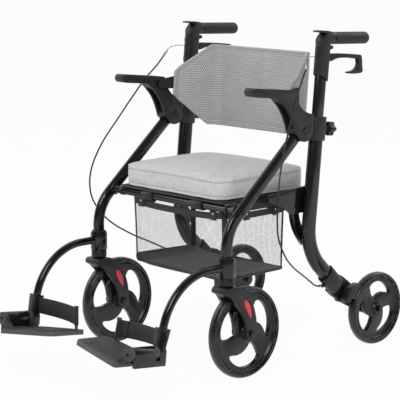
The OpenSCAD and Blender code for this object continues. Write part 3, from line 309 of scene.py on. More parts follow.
# Lighter sharp edges: partly wear, partly a painted highlight.
tint = add_node(satin_nylon, "Mix", {0: edges, 6: body_tint,
                                     7: linear("#2e3033")}, data_type="RGBA").outputs[2]
gloss = add_node(satin_nylon, "MapRange", {"Value": grain, "To Min": 0.36, "To Max": 0.56}).outputs[0]
relief = add_node(satin_nylon, "Bump", {"Height": grain, "Strength": 0.12, "Distance": 0.0004}).outputs[0]
skin = add_node(satin_nylon, "BsdfPrincipled", {"Base Color": tint, "Roughness": gloss, "Normal": relief,
                                                "IOR": 1.53, "Specular IOR Level": 0.35})
add_node(satin_nylon, "OutputMaterial", {"Surface": skin.outputs[0]})
for node in ("leg_clamp", "rear_bracket", "armrest", "caster_housing", "fork", "height_knob", "brake_shoe",
             "brake_lever"):
    for side in ("left", "right"):
        dress(node + "_" + side, satin_nylon, edge=1.2)
for node in ("seat_frame", "backrest_hinges"):
    dress(node, satin_nylon, edge=0.8)


# Footplates
# The plates are the same nylon with more chalk in it, a dark grey that shoes scuff in patches. Sharp edges
# and rib crests are lighter, partly scuffed and partly a painted highlight. The grain is drawn at 2 mm and
# the scuffs are some 30 mm across.
chalky_nylon = bare_material("chalky_nylon")
place = add_node(chalky_nylon, "TexCoord", {})
grain = add_node(chalky_nylon, "TexNoise", {"Vector": place.outputs["Object"], "Scale": 1000 / 2,
                                            "Detail": 3}).outputs["Fac"]
scuff = add_node(chalky_nylon, "TexNoise", {"Vector": place.outputs["Object"], "Scale": 1000 / 30,
                                            "Detail": 4}).outputs["Fac"]
edges = worn_and_highlit_edges(chalky_nylon, 0.51, 0.6)
pigment = add_node(chalky_nylon, "Mix", {0: scuff, 6: linear("#232426"),
                                         7: linear("#3b3c3e")}, data_type="RGBA").outputs[2]
# Lighter sharp edges and rib crests: partly scuffs, partly a painted highlight.
tint = add_node(chalky_nylon, "Mix", {0: edges, 6: pigment,
                                      7: linear("#565759")}, data_type="RGBA").outputs[2]
gloss = add_node(chalky_nylon, "MapRange", {"Value": grain, "To Min": 0.4, "To Max": 0.62}).outputs[0]
relief = add_node(chalky_nylon, "Bump", {"Height": grain, "Strength": 0.15, "Distance": 0.0004}).outputs[0]
skin = add_node(chalky_nylon, "BsdfPrincipled", {"Base Color": tint, "Roughness": gloss, "Normal": relief,
                                                 "IOR": 1.53, "Specular IOR Level": 0.4})
add_node(chalky_nylon, "OutputMaterial", {"Surface": skin.outputs[0]})
for side in ("left", "right"):
    dress("footplate_" + side, chalky_nylon, edge=0.8)

# Wheels
# Each is a solid polyurethane tyre moulded onto a black nylon rim with three wide windows, and turns on a
# steel axle. The tyre is smooth and shiny, greyer on the tread where it scuffs, with fine moulded rings
# round its side, 2.5 mm apart.
tyre_polyurethane = bare_material("tyre_polyurethane")
place = add_node(tyre_polyurethane, "TexCoord", {})
reach = add_node(tyre_polyurethane, "Attribute", {}, attribute_name="from_axle")
rings = add_node(tyre_polyurethane, "Math", {0: reach.outputs["Fac"], 1: 2 * math.pi / 0.0025},
                 operation="MULTIPLY")
wave = add_node(tyre_polyurethane, "Math", {0: rings.outputs[0]}, operation="SINE")
scuff = add_node(tyre_polyurethane, "TexNoise", {"Vector": place.outputs["Object"], "Scale": 1000 / 7,
                                                 "Detail": 4}).outputs["Fac"]
worn = add_node(tyre_polyurethane, "Attribute", {}, attribute_name="tread")
scuffed = add_node(tyre_polyurethane, "Math", {0: worn.outputs["Fac"], 1: scuff}, operation="MULTIPLY")
tint = add_node(tyre_polyurethane, "Mix", {0: scuffed.outputs[0], 6: linear("#0b0b0c"),
                                           7: linear("#232425")}, data_type="RGBA").outputs[2]
gloss = add_node(tyre_polyurethane, "MapRange", {"Value": scuff, "To Min": 0.24, "To Max": 0.4}).outputs[0]
height = add_node(tyre_polyurethane, "Math", {0: scuff, 1: wave.outputs[0]}, operation="ADD")
relief = add_node(tyre_polyurethane, "Bump", {"Height": height.outputs[0], "Strength": 0.1,
                                              "Distance": 0.0002}).outputs[0]
skin = add_node(tyre_polyurethane, "BsdfPrincipled", {"Base Color": tint, "Roughness": gloss,
                                                      "Normal": relief, "IOR": 1.5,
                                                      "Specular IOR Level": 0.5})
add_node(tyre_polyurethane, "OutputMaterial", {"Surface": skin.outputs[0]})
# The rim comes from a polished tool: a smoother black than the grained mouldings, with soft sink marks
# 20 mm across.
polished_nylon = bare_material("polished_nylon")
place = add_node(polished_nylon, "TexCoord", {})
sinks = add_node(polished_nylon, "TexNoise", {"Vector": place.outputs["Object"], "Scale": 1000 / 20,
                                              "Detail": 2}).outputs["Fac"]
dust = add_node(polished_nylon, "TexNoise", {"Vector": place.outputs["Object"], "Scale": 1000 / 2,
                                             "Detail": 4}).outputs["Fac"]
tint = add_node(polished_nylon, "Mix", {0: dust, 6: linear("#0b0b0c"),
                                        7: linear("#161718")}, data_type="RGBA").outputs[2]
gloss = add_node(polished_nylon, "MapRange", {"Value": dust, "To Min": 0.2, "To Max": 0.34}).outputs[0]
relief = add_node(polished_nylon, "Bump", {"Height": sinks, "Strength": 0.1, "Distance": 0.001}).outputs[0]
skin = add_node(polished_nylon, "BsdfPrincipled", {"Base Color": tint, "Roughness": gloss, "Normal": relief,
                                                   "IOR": 1.53, "Specular IOR Level": 0.35})
add_node(polished_nylon, "OutputMaterial", {"Surface": skin.outputs[0]})
for wheel, axle_y, radius in (("front", -268, 127), ("rear", 262, 107)):
    for side in ("left", "right"):
        tyre = dress(wheel + "_tyre_" + side, tyre_polyurethane, edge=0)
        hub = spot(0, axle_y, radius)
        reaches = [math.hypot(v.co.y - hub.y, v.co.z - hub.z) for v in tyre.data.vertices]
        from_axle = tyre.data.attributes.new("from_axle", "FLOAT", "POINT")
        from_axle.data.foreach_set("value", reaches)
        tread = tyre.data.attributes.new("tread", "FLOAT", "POINT")
        tread.data.foreach_set("value", [1.0 if r > radius / 1000 - 0.004 else 0.0 for r in reaches])
        dress(wheel + "_rim_" + side, polished_nylon, edge=1.2)

# Teardrop inserts
# A bright red ABS teardrop is clipped into a recess of each fork. It is polished, with a faint flow of
# lighter pigment.
red_abs = bare_material("red_abs")
place = add_node(red_abs, "TexCoord", {})
pigment = add_node(red_abs, "TexNoise", {"Vector": place.outputs["Object"], "Scale": 1000 / 14,
                                         "Detail": 3}).outputs["Fac"]
tint = add_node(red_abs, "Mix", {0: pigment, 6: linear("#c8102a"),
                                 7: linear("#e52238")}, data_type="RGBA").outputs[2]
gloss = add_node(red_abs, "MapRange", {"Value": pigment, "To Min": 0.2, "To Max": 0.34}).outputs[0]
skin = add_node(red_abs, "BsdfPrincipled", {"Base Color": tint, "Roughness": gloss, "IOR": 1.54,
                                            "Coat Weight": 0.3, "Coat Roughness": 0.1})
add_node(red_abs, "OutputMaterial", {"Surface": skin.outputs[0]})
for side in ("left", "right"):
    dress("fork_insert_" + side, red_abs, edge=0.4)

# Bolts and axles
# Black-zinc-plated steel: a dark metal with a faint warm cast and fine marks from the plating barrel, about
# 0.8 mm between marks.
black_zinc = bare_material("black_zinc")
place = add_node(black_zinc, "TexCoord", {})
marks = add_node(black_zinc, "TexNoise", {"Vector": place.outputs["Object"], "Scale": 1000 / 0.8,
                                          "Detail": 3}).outputs["Fac"]
bloom = add_node(black_zinc, "TexNoise", {"Vector": place.outputs["Object"], "Scale": 1000 / 9,
                                          "Detail": 2}).outputs["Fac"]
tint = add_node(black_zinc, "Mix", {0: bloom, 6: linear("#2c2b2c"),
                                    7: linear("#4a4849")}, data_type="RGBA").outputs[2]
gloss = add_node(black_zinc, "MapRange", {"Value": marks, "To Min": 0.2, "To Max": 0.42}).outputs[0]
relief = add_node(black_zinc, "Bump", {"Height": marks, "Strength": 0.08, "Distance": 0.0002}).outputs[0]
skin = add_node(black_zinc, "BsdfPrincipled", {"Base Color": tint, "Roughness": gloss, "Normal": relief,
                                               "Metallic": 1.0})
add_node(black_zinc, "OutputMaterial", {"Surface": skin.outputs[0]})
for node in ("rear_frame_bolts", "front_frame_bolts", "front_axle_left", "front_axle_right"):
    dress(node, black_zinc, edge=0.4)

# Handle housings
# Each is two half shells of the same nylon, held together by three small screws with a round socket. Each
# screw is set on the shell where a line from outside meets it.
for side, sign in (("left", 1), ("right", -1)):
    housing = dress("handle_housing_" + side, satin_nylon, edge=1.2)
    for number, (x, y, z), look in ((1, (330, 12, 821), (-1, 0, 0)), (2, (330, 33, 823), (-1, 0, 0)),
                                    (3, (273, -60, 875), (0, 1, 0))):
        way = Vector((sign * look[0], look[1], look[2]))
        _, seat, out, _ = housing.ray_cast(spot(sign * x, y, z), way)
        bpy.ops.object.select_all(action="DESELECT")
        bpy.ops.mesh.primitive_cylinder_add(vertices=24, radius=0.0032, depth=0.0016, end_fill_type="NGON",
                                            location=seat, rotation=out.to_track_quat("Z", "Y").to_euler())
        screw = bpy.context.object
        screw.name = "housing_screw_" + str(number) + "_" + side
        bpy.ops.object.transform_apply(location=True, rotation=True, scale=True)
        pick_faces(screw, lambda normal: normal.dot(out) > 0.9)
        bpy.ops.mesh.inset(thickness=0.0012)
        bpy.ops.mesh.extrude_region_move(TRANSFORM_OT_translate={"value": -0.0012 * out})
        bpy.ops.object.mode_set(mode="OBJECT")
        bpy.ops.object.shade_smooth_by_angle(angle=math.radians(35))
        screw.data.materials.append(black_zinc)
        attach(screw, "handle_" + side)

# Handle grips
# A sleeve of soft black rubber is pushed onto the stub of each handle housing. It is smooth, with a round
# end, and stands for a solid that has shallow finger rings. It is matt, with the fine speckle of its
# moulded skin, drawn at 1.2 mm, and a bloom where hands polish it.
grip_rubber = bare_material("grip_rubber")
place = add_node(grip_rubber, "TexCoord", {})
speckle = add_node(grip_rubber, "TexNoise", {"Vector": place.outputs["Object"], "Scale": 1000 / 1.2,
                                             "Detail": 3}).outputs["Fac"]
bloom = add_node(grip_rubber, "TexNoise", {"Vector": place.outputs["Object"], "Scale": 1000 / 25,
                                           "Detail": 2}).outputs["Fac"]
tint = add_node(grip_rubber, "Mix", {0: bloom, 6: linear("#0f1011"),
                                     7: linear("#1b1c1e")}, data_type="RGBA").outputs[2]
gloss = add_node(grip_rubber, "MapRange", {"Value": bloom, "To Min": 0.46, "To Max": 0.68}).outputs[0]
relief = add_node(grip_rubber, "Bump", {"Height": speckle, "Strength": 0.2, "Distance": 0.0004}).outputs[0]
skin = add_node(grip_rubber, "BsdfPrincipled", {"Base Color": tint, "Roughness": gloss, "Normal": relief,
                                                "IOR": 1.52, "Specular IOR Level": 0.35,
                                                "Sheen Weight": 0.05})
add_node(grip_rubber, "OutputMaterial", {"Surface": skin.outputs[0]})
for side in ("left", "right"):
    low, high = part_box("grip_" + side)
    droop = math.radians(2.5)
    along = Vector((0, math.cos(droop), -math.sin(droop)))
    thick = (high.x - low.x) / 2 - 0.0013
    long = (high.y - low.y) / along.y + 0.003
    bpy.ops.object.select_all(action="DESELECT")
    bpy.ops.mesh.primitive_cylinder_add(vertices=64, radius=thick, depth=long, end_fill_type="NGON",
                                        location=(low + high) / 2 - 0.002 * along,
                                        rotation=along.to_track_quat("Z", "Y").to_euler())
    grip = bpy.context.object
    grip.name = "grip_sleeve_" + side
    bpy.ops.object.transform_apply(location=True, rotation=True, scale=True)
    pick_faces(grip, lambda normal: normal.dot(along) > 0.9)
    bpy.ops.mesh.region_to_loop()
    bpy.ops.mesh.bevel(offset=0.012, segments=10)
    bpy.ops.object.mode_set(mode="OBJECT")
    bpy.ops.object.shade_smooth_by_angle(angle=math.radians(35))
    grip.data.materials.append(grip_rubber)
    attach(grip, "handle_" + side)
    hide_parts("grip_" + side)


# Seat cushion
# A foam block in a sewn linen-look cover with a box side: a top panel, a strip round the sides and a seam
# above and below the strip. It lies on the seat frame and is a little drawn in between its corners.
# The cover is a plain weave of uneven slub yarn in light grey. Real yarns are about 1 mm apart; they are
# drawn at 3 mm so that they show, with slubs some 35 mm long.
slub_linen = bare_material("slub_linen")
place = add_node(slub_linen, "TexCoord", {})
threads = []
for scale in ((1000 / 35, 1000 / 3, 1000 / 3), (1000 / 3, 1000 / 35, 1000 / 3),
              (1000 / 3, 1000 / 3, 1000 / 30)):
    course = add_node(slub_linen, "Mapping", {"Vector": place.outputs["Object"], "Scale": scale})
    sockets = {"Vector": course.outputs[0], "Scale": 1, "Detail": 3, "Roughness": 0.6}
    threads.append(add_node(slub_linen, "TexNoise", sockets).outputs["Fac"])
pair = add_node(slub_linen, "Math", {0: threads[0], 1: threads[1]}, operation="MULTIPLY")
cloth = add_node(slub_linen, "Math", {0: pair.outputs[0], 1: threads[2]}, operation="MULTIPLY")
spread = add_node(slub_linen, "MapRange", {"Value": cloth.outputs[0], "From Min": 0.05, "From Max": 0.22})
fade = add_node(slub_linen, "TexNoise", {"Vector": place.outputs["Object"], "Scale": 1000 / 120,
                                         "Detail": 2}).outputs["Fac"]
yarn = add_node(slub_linen, "Mix", {0: spread.outputs[0], 6: linear("#a2a2a3"),
                                    7: linear("#dcdcdb")}, data_type="RGBA").outputs[2]
tint = add_node(slub_linen, "Mix", {0: fade, 6: yarn, 7: linear("#cfcfcf")}, data_type="RGBA").outputs[2]
relief = add_node(slub_linen, "Bump", {"Height": spread.outputs[0], "Strength": 0.35,
                                       "Distance": 0.0006}).outputs[0]
skin = add_node(slub_linen, "BsdfPrincipled", {"Base Color": tint, "Roughness": 0.9, "Normal": relief,
                                               "Sheen Weight": 0.25, "Sheen Roughness": 0.5})
add_node(slub_linen, "OutputMaterial", {"Surface": skin.outputs[0]})

seat_low, seat_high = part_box("seat_cushion")
middle = (seat_low + seat_high) / 2
half = (seat_high - seat_low) / 2
block_z, block_thick, block_inset = 0.508, 0.053, 0.010
top_from, dome_rise, side_draw = 0.525, 0.019, 0.006
furthest_move = 0.006
bpy.ops.object.select_all(action="DESELECT")
bpy.ops.mesh.primitive_cube_add(size=1, location=(middle.x, middle.y, block_z))
cushion = bpy.context.object
cushion.name = "cushion"
cushion.scale = (seat_high.x - seat_low.x - block_inset, seat_high.y - seat_low.y - block_inset, block_thick)
bpy.ops.object.transform_apply(location=True, rotation=True, scale=True)
bpy.ops.object.mode_set(mode="EDIT")
bpy.ops.mesh.select_mode(type="EDGE")
bpy.ops.mesh.select_all(action="DESELECT")
bpy.ops.object.mode_set(mode="OBJECT")
for corner in cushion.data.edges:
    one, two = (cushion.data.vertices[i].co for i in corner.vertices)
    corner.select = abs(one.z - two.z) > 0.02
bpy.ops.object.mode_set(mode="EDIT")
bpy.ops.mesh.bevel(offset=0.052, segments=8)
bpy.ops.object.mode_set(mode="OBJECT")
cushion.data.remesh_voxel_size = 0.005
bpy.ops.object.voxel_remesh()
for point in cushion.data.vertices:
    u = (point.co.x - middle.x) / half.x
    v = (point.co.y - middle.y) / half.y
    dome = max(0.0, 1 - u * u) * max(0.0, 1 - v * v)
    if point.co.z > top_from:
        point.co.z += dome_rise * dome ** 0.6
    point.co.x -= side_draw * math.copysign(max(0.0, 1 - v * v) * abs(u) ** 3, u)
    point.co.y -= side_draw * math.copysign(max(0.0, 1 - u * u) * abs(v) ** 3, v)
before = [point.co.copy() for point in cushion.data.vertices]
swell = cushion.modifiers.new("swell", "CLOTH")
swell.settings.use_pressure = True
swell.settings.uniform_pressure_force = 4
swell.settings.effector_weights.gravity = 0
swell.settings.quality = 5
swell.settings.tension_stiffness = 25
swell.settings.bending_stiffness = 2
swell.point_cache.frame_end = 20
for step in range(1, 21):
    bpy.context.scene.frame_set(step)
bpy.ops.object.modifier_apply(modifier="swell")
bpy.context.scene.frame_set(1)
for point, start in zip(cushion.data.vertices, before):
    moved = point.co - start
    if moved.length > furthest_move:
        point.co = start + moved * (furthest_move / moved.length)
for point in cushion.data.vertices:
    point.co.z = max(point.co.z, seat_low.z + 0.0005)
# The two seams pull the cover in by 2 mm, at the upper and the lower edge of the side strip.
top_seam, foot_seam = seat_low.z + 0.050, seat_low.z + 0.012
for point in cushion.data.vertices:
    away = point.co - middle
    out = Vector((away.x / half.x ** 2, away.y / half.y ** 2, 0)).normalized()
    rim = max(abs(away.x) / half.x, abs(away.y) / half.y)
    for seam in (top_seam, foot_seam):
        point.co -= out * 0.002 * math.exp(-((point.co.z - seam) / 0.004) ** 2) * (1 if rim > 0.8 else 0)
smooth = cushion.modifiers.new("smooth", "SUBSURF")
smooth.levels = 1
smooth.render_levels = 1
bpy.ops.object.modifier_apply(modifier="smooth")
bpy.ops.object.shade_smooth()
cushion.data.materials.clear()
cushion.data.materials.append(slub_linen)
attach(cushion, "seat")
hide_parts("seat_cushion")

# Seam welts
# The cover's panels are sewn together with a thin folded welt, which shows as a fine darker line. The yarn
# of the thread is twisted, drawn at 4 mm a stitch.
welt_thread = bare_material("welt_thread")
place = add_node(welt_thread, "TexCoord", {})
stitch = add_node(welt_thread, "TexNoise", {"Vector": place.outputs["Object"], "Scale": 1000 / 4,
                                            "Detail": 2}).outputs["Fac"]
tint = add_node(welt_thread, "Mix", {0: stitch, 6: linear("#8f9092"),
                                     7: linear("#c2c2c2")}, data_type="RGBA").outputs[2]
relief = add_node(welt_thread, "Bump", {"Height": stitch, "Strength": 0.4, "Distance": 0.0005}).outputs[0]
skin = add_node(welt_thread, "BsdfPrincipled", {"Base Color": tint, "Roughness": 0.9, "Normal": relief,
                                                "Sheen Weight": 0.2})
add_node(welt_thread, "OutputMaterial", {"Surface": skin.outputs[0]})
for name, seam in (("cushion_seam_top", top_seam), ("cushion_seam_foot", foot_seam)):
    welt = bpy.data.objects.new(name, cushion.data.copy())
    bpy.context.scene.collection.objects.link(welt)
    pick(welt)
    bpy.ops.object.mode_set(mode="EDIT")
    bpy.ops.mesh.select_all(action="SELECT")
    bpy.ops.mesh.bisect(plane_co=(0, 0, seam), plane_no=(0, 0, 1), clear_inner=True, clear_outer=True)
    bpy.ops.mesh.select_all(action="SELECT")
    bpy.ops.mesh.remove_doubles(threshold=0.002)
    bpy.ops.object.mode_set(mode="OBJECT")
    bpy.ops.object.convert(target="CURVE")
    welt.data.bevel_depth = 0.0013
    welt.data.bevel_resolution = 2
    bpy.ops.object.convert(target="MESH")
    bpy.ops.object.shade_smooth()
    welt.data.materials.clear()
    welt.data.materials.append(welt_thread)
    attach(welt, "seat")


# Backrest
# A thin foam pad in grey sandwich mesh, sewn flat with a bound edge, wraps round the sitter's back. Its
# narrow ends are held by hinge plates on the armrests.
# The mesh is knitted in rows of small open cells. Real cells are about 3 mm apart; they are drawn at 6 mm
# so that they show. Their open holes are painted darker than the yarn round them, as painted shade.
sandwich_mesh = bare_material("sandwich_mesh")
place = add_node(sandwich_mesh, "UVMap", {}, uv_map="cloth")
cell_wide, cell_tall = 6, 10.4
far = []
for shift in ((0, 0, 0), (0.5, 0.5, 0)):
    row = add_node(sandwich_mesh, "Mapping", {"Vector": place.outputs[0], "Location": shift,
                                              "Scale": (1000 / cell_wide, 1000 / cell_tall, 1)})
    part = add_node(sandwich_mesh, "VectorMath", {0: row.outputs[0]}, operation="FRACTION")
    off = add_node(sandwich_mesh, "VectorMath", {0: part.outputs[0], 1: (0.5, 0.5, 0)}, operation="SUBTRACT")
    real = add_node(sandwich_mesh, "VectorMath", {0: off.outputs[0], 1: (cell_wide, cell_tall, 0)},
                    operation="MULTIPLY")
    far.append(add_node(sandwich_mesh, "VectorMath", {0: real.outputs[0]},
                        operation="LENGTH").outputs["Value"])
near = add_node(sandwich_mesh, "Math", {0: far[0], 1: far[1]}, operation="MINIMUM")
knit = add_node(sandwich_mesh, "MapRange", {"Value": near.outputs[0], "From Min": 1.0, "From Max": 2.6})
lustre = add_node(sandwich_mesh, "TexNoise", {"Vector": place.outputs[0], "Scale": 1000 / 90, "Detail": 2})
yarn = add_node(sandwich_mesh, "Mix", {0: lustre.outputs["Fac"], 6: linear("#b4b5b6"),
                                       7: linear("#cbcccd")}, data_type="RGBA").outputs[2]
# The dark colour in the cell holes is painted shade.
tint = add_node(sandwich_mesh, "Mix", {0: knit.outputs[0], 6: linear("#57585a"),
                                       7: yarn}, data_type="RGBA").outputs[2]
relief = add_node(sandwich_mesh, "Bump", {"Height": knit.outputs[0], "Strength": 0.5,
                                          "Distance": 0.0012}).outputs[0]
skin = add_node(sandwich_mesh, "BsdfPrincipled", {"Base Color": tint, "Roughness": 0.75, "Normal": relief,
                                                  "Sheen Weight": 0.3, "Sheen Roughness": 0.4})
add_node(sandwich_mesh, "OutputMaterial", {"Surface": skin.outputs[0]})

flat_half, corner_r, wing_run, end_run = 155.22, 37, 102.33, 16.89
wing, lean = math.radians(25), math.radians(5)
foot_z, head_z, end_foot_z, end_head_z = 628, 858, 711.15, 775.15
hinge_y, hinge_z = 74, 743
corner_y, taper_y, taper_run = 32, 42, 104
stitch_inset = 12
corner_run = corner_r * (math.pi / 2 - wing)
half_run = flat_half + corner_run + wing_run + end_run


def back_point(run, share):
    """A point of the pad's middle face, run millimetres along the band and a share of the way up."""
    turn = min(max((abs(run) - flat_half) / corner_r, 0), math.pi / 2 - wing)
    along = min(max(abs(run) - flat_half - corner_run, 0), wing_run)
    past = max(abs(run) - flat_half - corner_run - wing_run, 0)
    x = min(abs(run), flat_half) + corner_r * math.sin(turn) + along * math.sin(wing)
    y = corner_y + corner_r * math.cos(turn) - along * math.cos(wing) - past
    taper = min(max((taper_y - y) / taper_run, 0), 1)
    low = foot_z + (end_foot_z - foot_z) * taper
    high = head_z + (end_head_z - head_z) * taper
    ahead, above = y - hinge_y, low + (high - low) * share - hinge_z
    return spot(math.copysign(x, run), hinge_y + ahead * math.cos(lean) + above * math.sin(lean),
                hinge_z + above * math.cos(lean) - ahead * math.sin(lean))


bpy.ops.object.select_all(action="DESELECT")
bpy.ops.mesh.primitive_grid_add(x_subdivisions=205, y_subdivisions=77, size=1)
backrest = bpy.context.object
backrest.name = "backrest"
pad = backrest.vertex_groups.new(name="pad")
runs = [2 * half_run * point.co.x for point in backrest.data.vertices]
shares = [point.co.y + 0.5 for point in backrest.data.vertices]
for point, run, share in zip(backrest.data.vertices, runs, shares):
    point.co = back_point(run, share)
    foot, head = back_point(run, 0), back_point(run, 1)
    tall = (head.z - foot.z) * 1000
    inset = min(share * tall, (1 - share) * tall, half_run - abs(run))
    rise = min(max((inset - stitch_inset) / 26, 0), 1)
    groove = math.exp(-((inset - stitch_inset) / 3.5) ** 2)
    pad.add([point.index], 0.72 + 0.28 * rise ** 0.7 - 0.3 * groove, "REPLACE")
cloth_map = backrest.data.uv_layers.new(name="cloth")
for loop in backrest.data.loops:
    point = backrest.data.vertices[loop.vertex_index]
    cloth_map.data[loop.index].uv = (runs[point.index] / 1000, point.co.z)
bpy.ops.object.mode_set(mode="EDIT")
bpy.ops.mesh.select_all(action="SELECT")
bpy.ops.mesh.region_to_loop()
bpy.ops.mesh.duplicate()
bpy.ops.mesh.separate(type="SELECTED")
bpy.ops.object.mode_set(mode="OBJECT")
binding = next(o for o in bpy.context.selected_objects if o != backrest)
pick(backrest)
thick = backrest.modifiers.new("foam", "SOLIDIFY")
thick.thickness = 0.009
thick.offset = 0
thick.vertex_group = "pad"
thick.use_even_offset = True
bpy.ops.object.modifier_apply(modifier="foam")
bpy.ops.object.shade_smooth_by_angle(angle=math.radians(60))
backrest.data.materials.clear()
backrest.data.materials.append(sandwich_mesh)
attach(backrest, "backrest")
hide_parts("backrest_panel")

# Backrest binding
# A folded tape of grey polyester is sewn over the pad's raw edge all the way round, as a soft bead 9 mm
# thick. The tape has a fine cross rib, drawn at 3 mm.
binding_tape = bare_material("binding_tape")
place = add_node(binding_tape, "TexCoord", {})
rib = add_node(binding_tape, "TexNoise", {"Vector": place.outputs["Object"], "Scale": 1000 / 3,
                                          "Detail": 2}).outputs["Fac"]
tint = add_node(binding_tape, "Mix", {0: rib, 6: linear("#8b8c8e"),
                                      7: linear("#b4b5b6")}, data_type="RGBA").outputs[2]
relief = add_node(binding_tape, "Bump", {"Height": rib, "Strength": 0.3, "Distance": 0.0006}).outputs[0]
skin = add_node(binding_tape, "BsdfPrincipled", {"Base Color": tint, "Roughness": 0.6, "Normal": relief,
                                                 "Sheen Weight": 0.3})
add_node(binding_tape, "OutputMaterial", {"Surface": skin.outputs[0]})
binding.name = "backrest_binding"
pick(binding)
bpy.ops.object.convert(target="CURVE")
binding.data.bevel_depth = 0.0046
binding.data.bevel_resolution = 4
bpy.ops.object.convert(target="MESH")
bpy.ops.object.shade_smooth()
binding.data.materials.clear()
binding.data.materials.append(binding_tape)
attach(binding, "backrest")


# Basket
# A shopping basket under the seat: walls of open black net, bound at the top and at its corners with
# webbing and at its foot with piping, on a floor mat covered in dark grey cloth. Webbing tabs hang it from
# the two tubes, and the front and side ones close with a press stud.
# The net is knotted on the slant from thin black thread, about 6 mm between threads.
basket_net = bare_material("basket_net")
place = add_node(basket_net, "TexCoord", {})
parts = add_node(basket_net, "SeparateXYZ", {0: place.outputs["Object"]})
sideways = add_node(basket_net, "Math", {0: parts.outputs["X"], 1: parts.outputs["Y"]}, operation="ADD")
thread_gap = 6.0
gaps = []
for slant in ("ADD", "SUBTRACT"):
    run = add_node(basket_net, "Math", {0: sideways.outputs[0], 1: parts.outputs["Z"]}, operation=slant)
    run_mm = add_node(basket_net, "Math", {0: run.outputs[0], 1: 1000}, operation="MULTIPLY")
    gap = add_node(basket_net, "Math", {0: run_mm.outputs[0], 1: thread_gap / 2}, operation="PINGPONG")
    gaps.append(gap.outputs[0])
nearest = add_node(basket_net, "Math", {0: gaps[0], 1: gaps[1]}, operation="MINIMUM")
thread = add_node(basket_net, "Math", {0: nearest.outputs[0], 1: 0.3}, operation="LESS_THAN")
fuzz = add_node(basket_net, "TexNoise", {"Vector": place.outputs["Object"], "Scale": 1000 / 5,
                                         "Detail": 2}).outputs["Fac"]
tint = add_node(basket_net, "Mix", {0: fuzz, 6: linear("#1a1a1b"),
                                    7: linear("#3a3a3c")}, data_type="RGBA").outputs[2]
skin = add_node(basket_net, "BsdfPrincipled", {"Base Color": tint, "Roughness": 0.7,
                                               "Alpha": thread.outputs[0]})
add_node(basket_net, "OutputMaterial", {"Surface": skin.outputs[0]})
# Woven polypropylene webbing: black, with a rib across it, drawn at 2.5 mm, and a slight plastic shine.
black_webbing = bare_material("black_webbing")
place = add_node(black_webbing, "TexCoord", {})
rib = add_node(black_webbing, "TexNoise", {"Vector": place.outputs["Object"], "Scale": 1000 / 2.5,
                                           "Detail": 2}).outputs["Fac"]
tint = add_node(black_webbing, "Mix", {0: rib, 6: linear("#141415"),
                                       7: linear("#2d2e30")}, data_type="RGBA").outputs[2]
gloss = add_node(black_webbing, "MapRange", {"Value": rib, "To Min": 0.45, "To Max": 0.7}).outputs[0]
relief = add_node(black_webbing, "Bump", {"Height": rib, "Strength": 0.4, "Distance": 0.0006}).outputs[0]
skin = add_node(black_webbing, "BsdfPrincipled", {"Base Color": tint, "Roughness": gloss, "Normal": relief,
                                                  "Sheen Weight": 0.15})
add_node(black_webbing, "OutputMaterial", {"Surface": skin.outputs[0]})
# Polyester oxford cloth over board: dark grey, a square weave drawn at 3 mm.
oxford_cloth = bare_material("oxford_cloth")
place = add_node(oxford_cloth, "TexCoord", {})
weave = add_node(oxford_cloth, "TexNoise", {"Vector": place.outputs["Object"], "Scale": 1000 / 3,
                                            "Detail": 3}).outputs["Fac"]
dust = add_node(oxford_cloth, "TexNoise", {"Vector": place.outputs["Object"], "Scale": 1000 / 70,
                                           "Detail": 2}).outputs["Fac"]
thread_tint = add_node(oxford_cloth, "Mix", {0: weave, 6: linear("#2a2b2c"),
                                             7: linear("#404142")}, data_type="RGBA").outputs[2]
tint = add_node(oxford_cloth, "Mix", {0: dust, 6: thread_tint,
                                      7: linear("#38393a")}, data_type="RGBA").outputs[2]
relief = add_node(oxford_cloth, "Bump", {"Height": weave, "Strength": 0.3, "Distance": 0.0006}).outputs[0]
skin = add_node(oxford_cloth, "BsdfPrincipled", {"Base Color": tint, "Roughness": 0.75, "Normal": relief,
                                                 "Sheen Weight": 0.2})
add_node(oxford_cloth, "OutputMaterial", {"Surface": skin.outputs[0]})

rim_z, floor_z = 0.438, 0.257
floor_middle = spot(0, -148.95, 257)
floor_wide, floor_deep, rim_wide, rim_deep = 0.372, 0.240, 0.380, 0.246
floor_half_x, floor_half_y, wall_half_x = floor_wide / 2, floor_deep / 2, 0.188
bpy.ops.object.select_all(action="DESELECT")
bpy.ops.mesh.primitive_plane_add(size=1, location=floor_middle)
net = bpy.context.object
net.name = "basket_net"
net.scale = (floor_wide, floor_deep, 1)
bpy.ops.object.transform_apply(location=True, rotation=True, scale=True)
bpy.ops.object.mode_set(mode="EDIT")
bpy.ops.mesh.select_all(action="SELECT")
bpy.ops.mesh.bevel(offset=0.02, segments=4, affect="VERTICES")
bpy.ops.mesh.select_all(action="SELECT")
bpy.ops.mesh.duplicate()
bpy.ops.mesh.separate(type="SELECTED")
bpy.ops.mesh.select_all(action="SELECT")
bpy.ops.mesh.delete(type="ONLY_FACE")
bpy.ops.mesh.select_mode(type="EDGE")
bpy.ops.mesh.select_all(action="SELECT")
bpy.ops.mesh.extrude_edges_move(TRANSFORM_OT_translate={"value": (0, -0.001, rim_z - floor_z)})
bpy.ops.transform.resize(value=(rim_wide / floor_wide, rim_deep / floor_deep, 1),
                         center_override=floor_middle)
bpy.ops.mesh.select_all(action="SELECT")
bpy.ops.mesh.normals_make_consistent(inside=False)
bpy.ops.mesh.subdivide(number_cuts=11)
bpy.ops.object.mode_set(mode="OBJECT")
floor = next(o for o in bpy.context.selected_objects if o != net)
floor.name = "basket_floor"


def cut_from_net(name):
    """A copy of the net's walls under a new name, picked, to be cut down to a strip."""
    strip = bpy.data.objects.new(name, net.data.copy())
    bpy.context.scene.collection.objects.link(strip)
    pick(strip)
    return strip


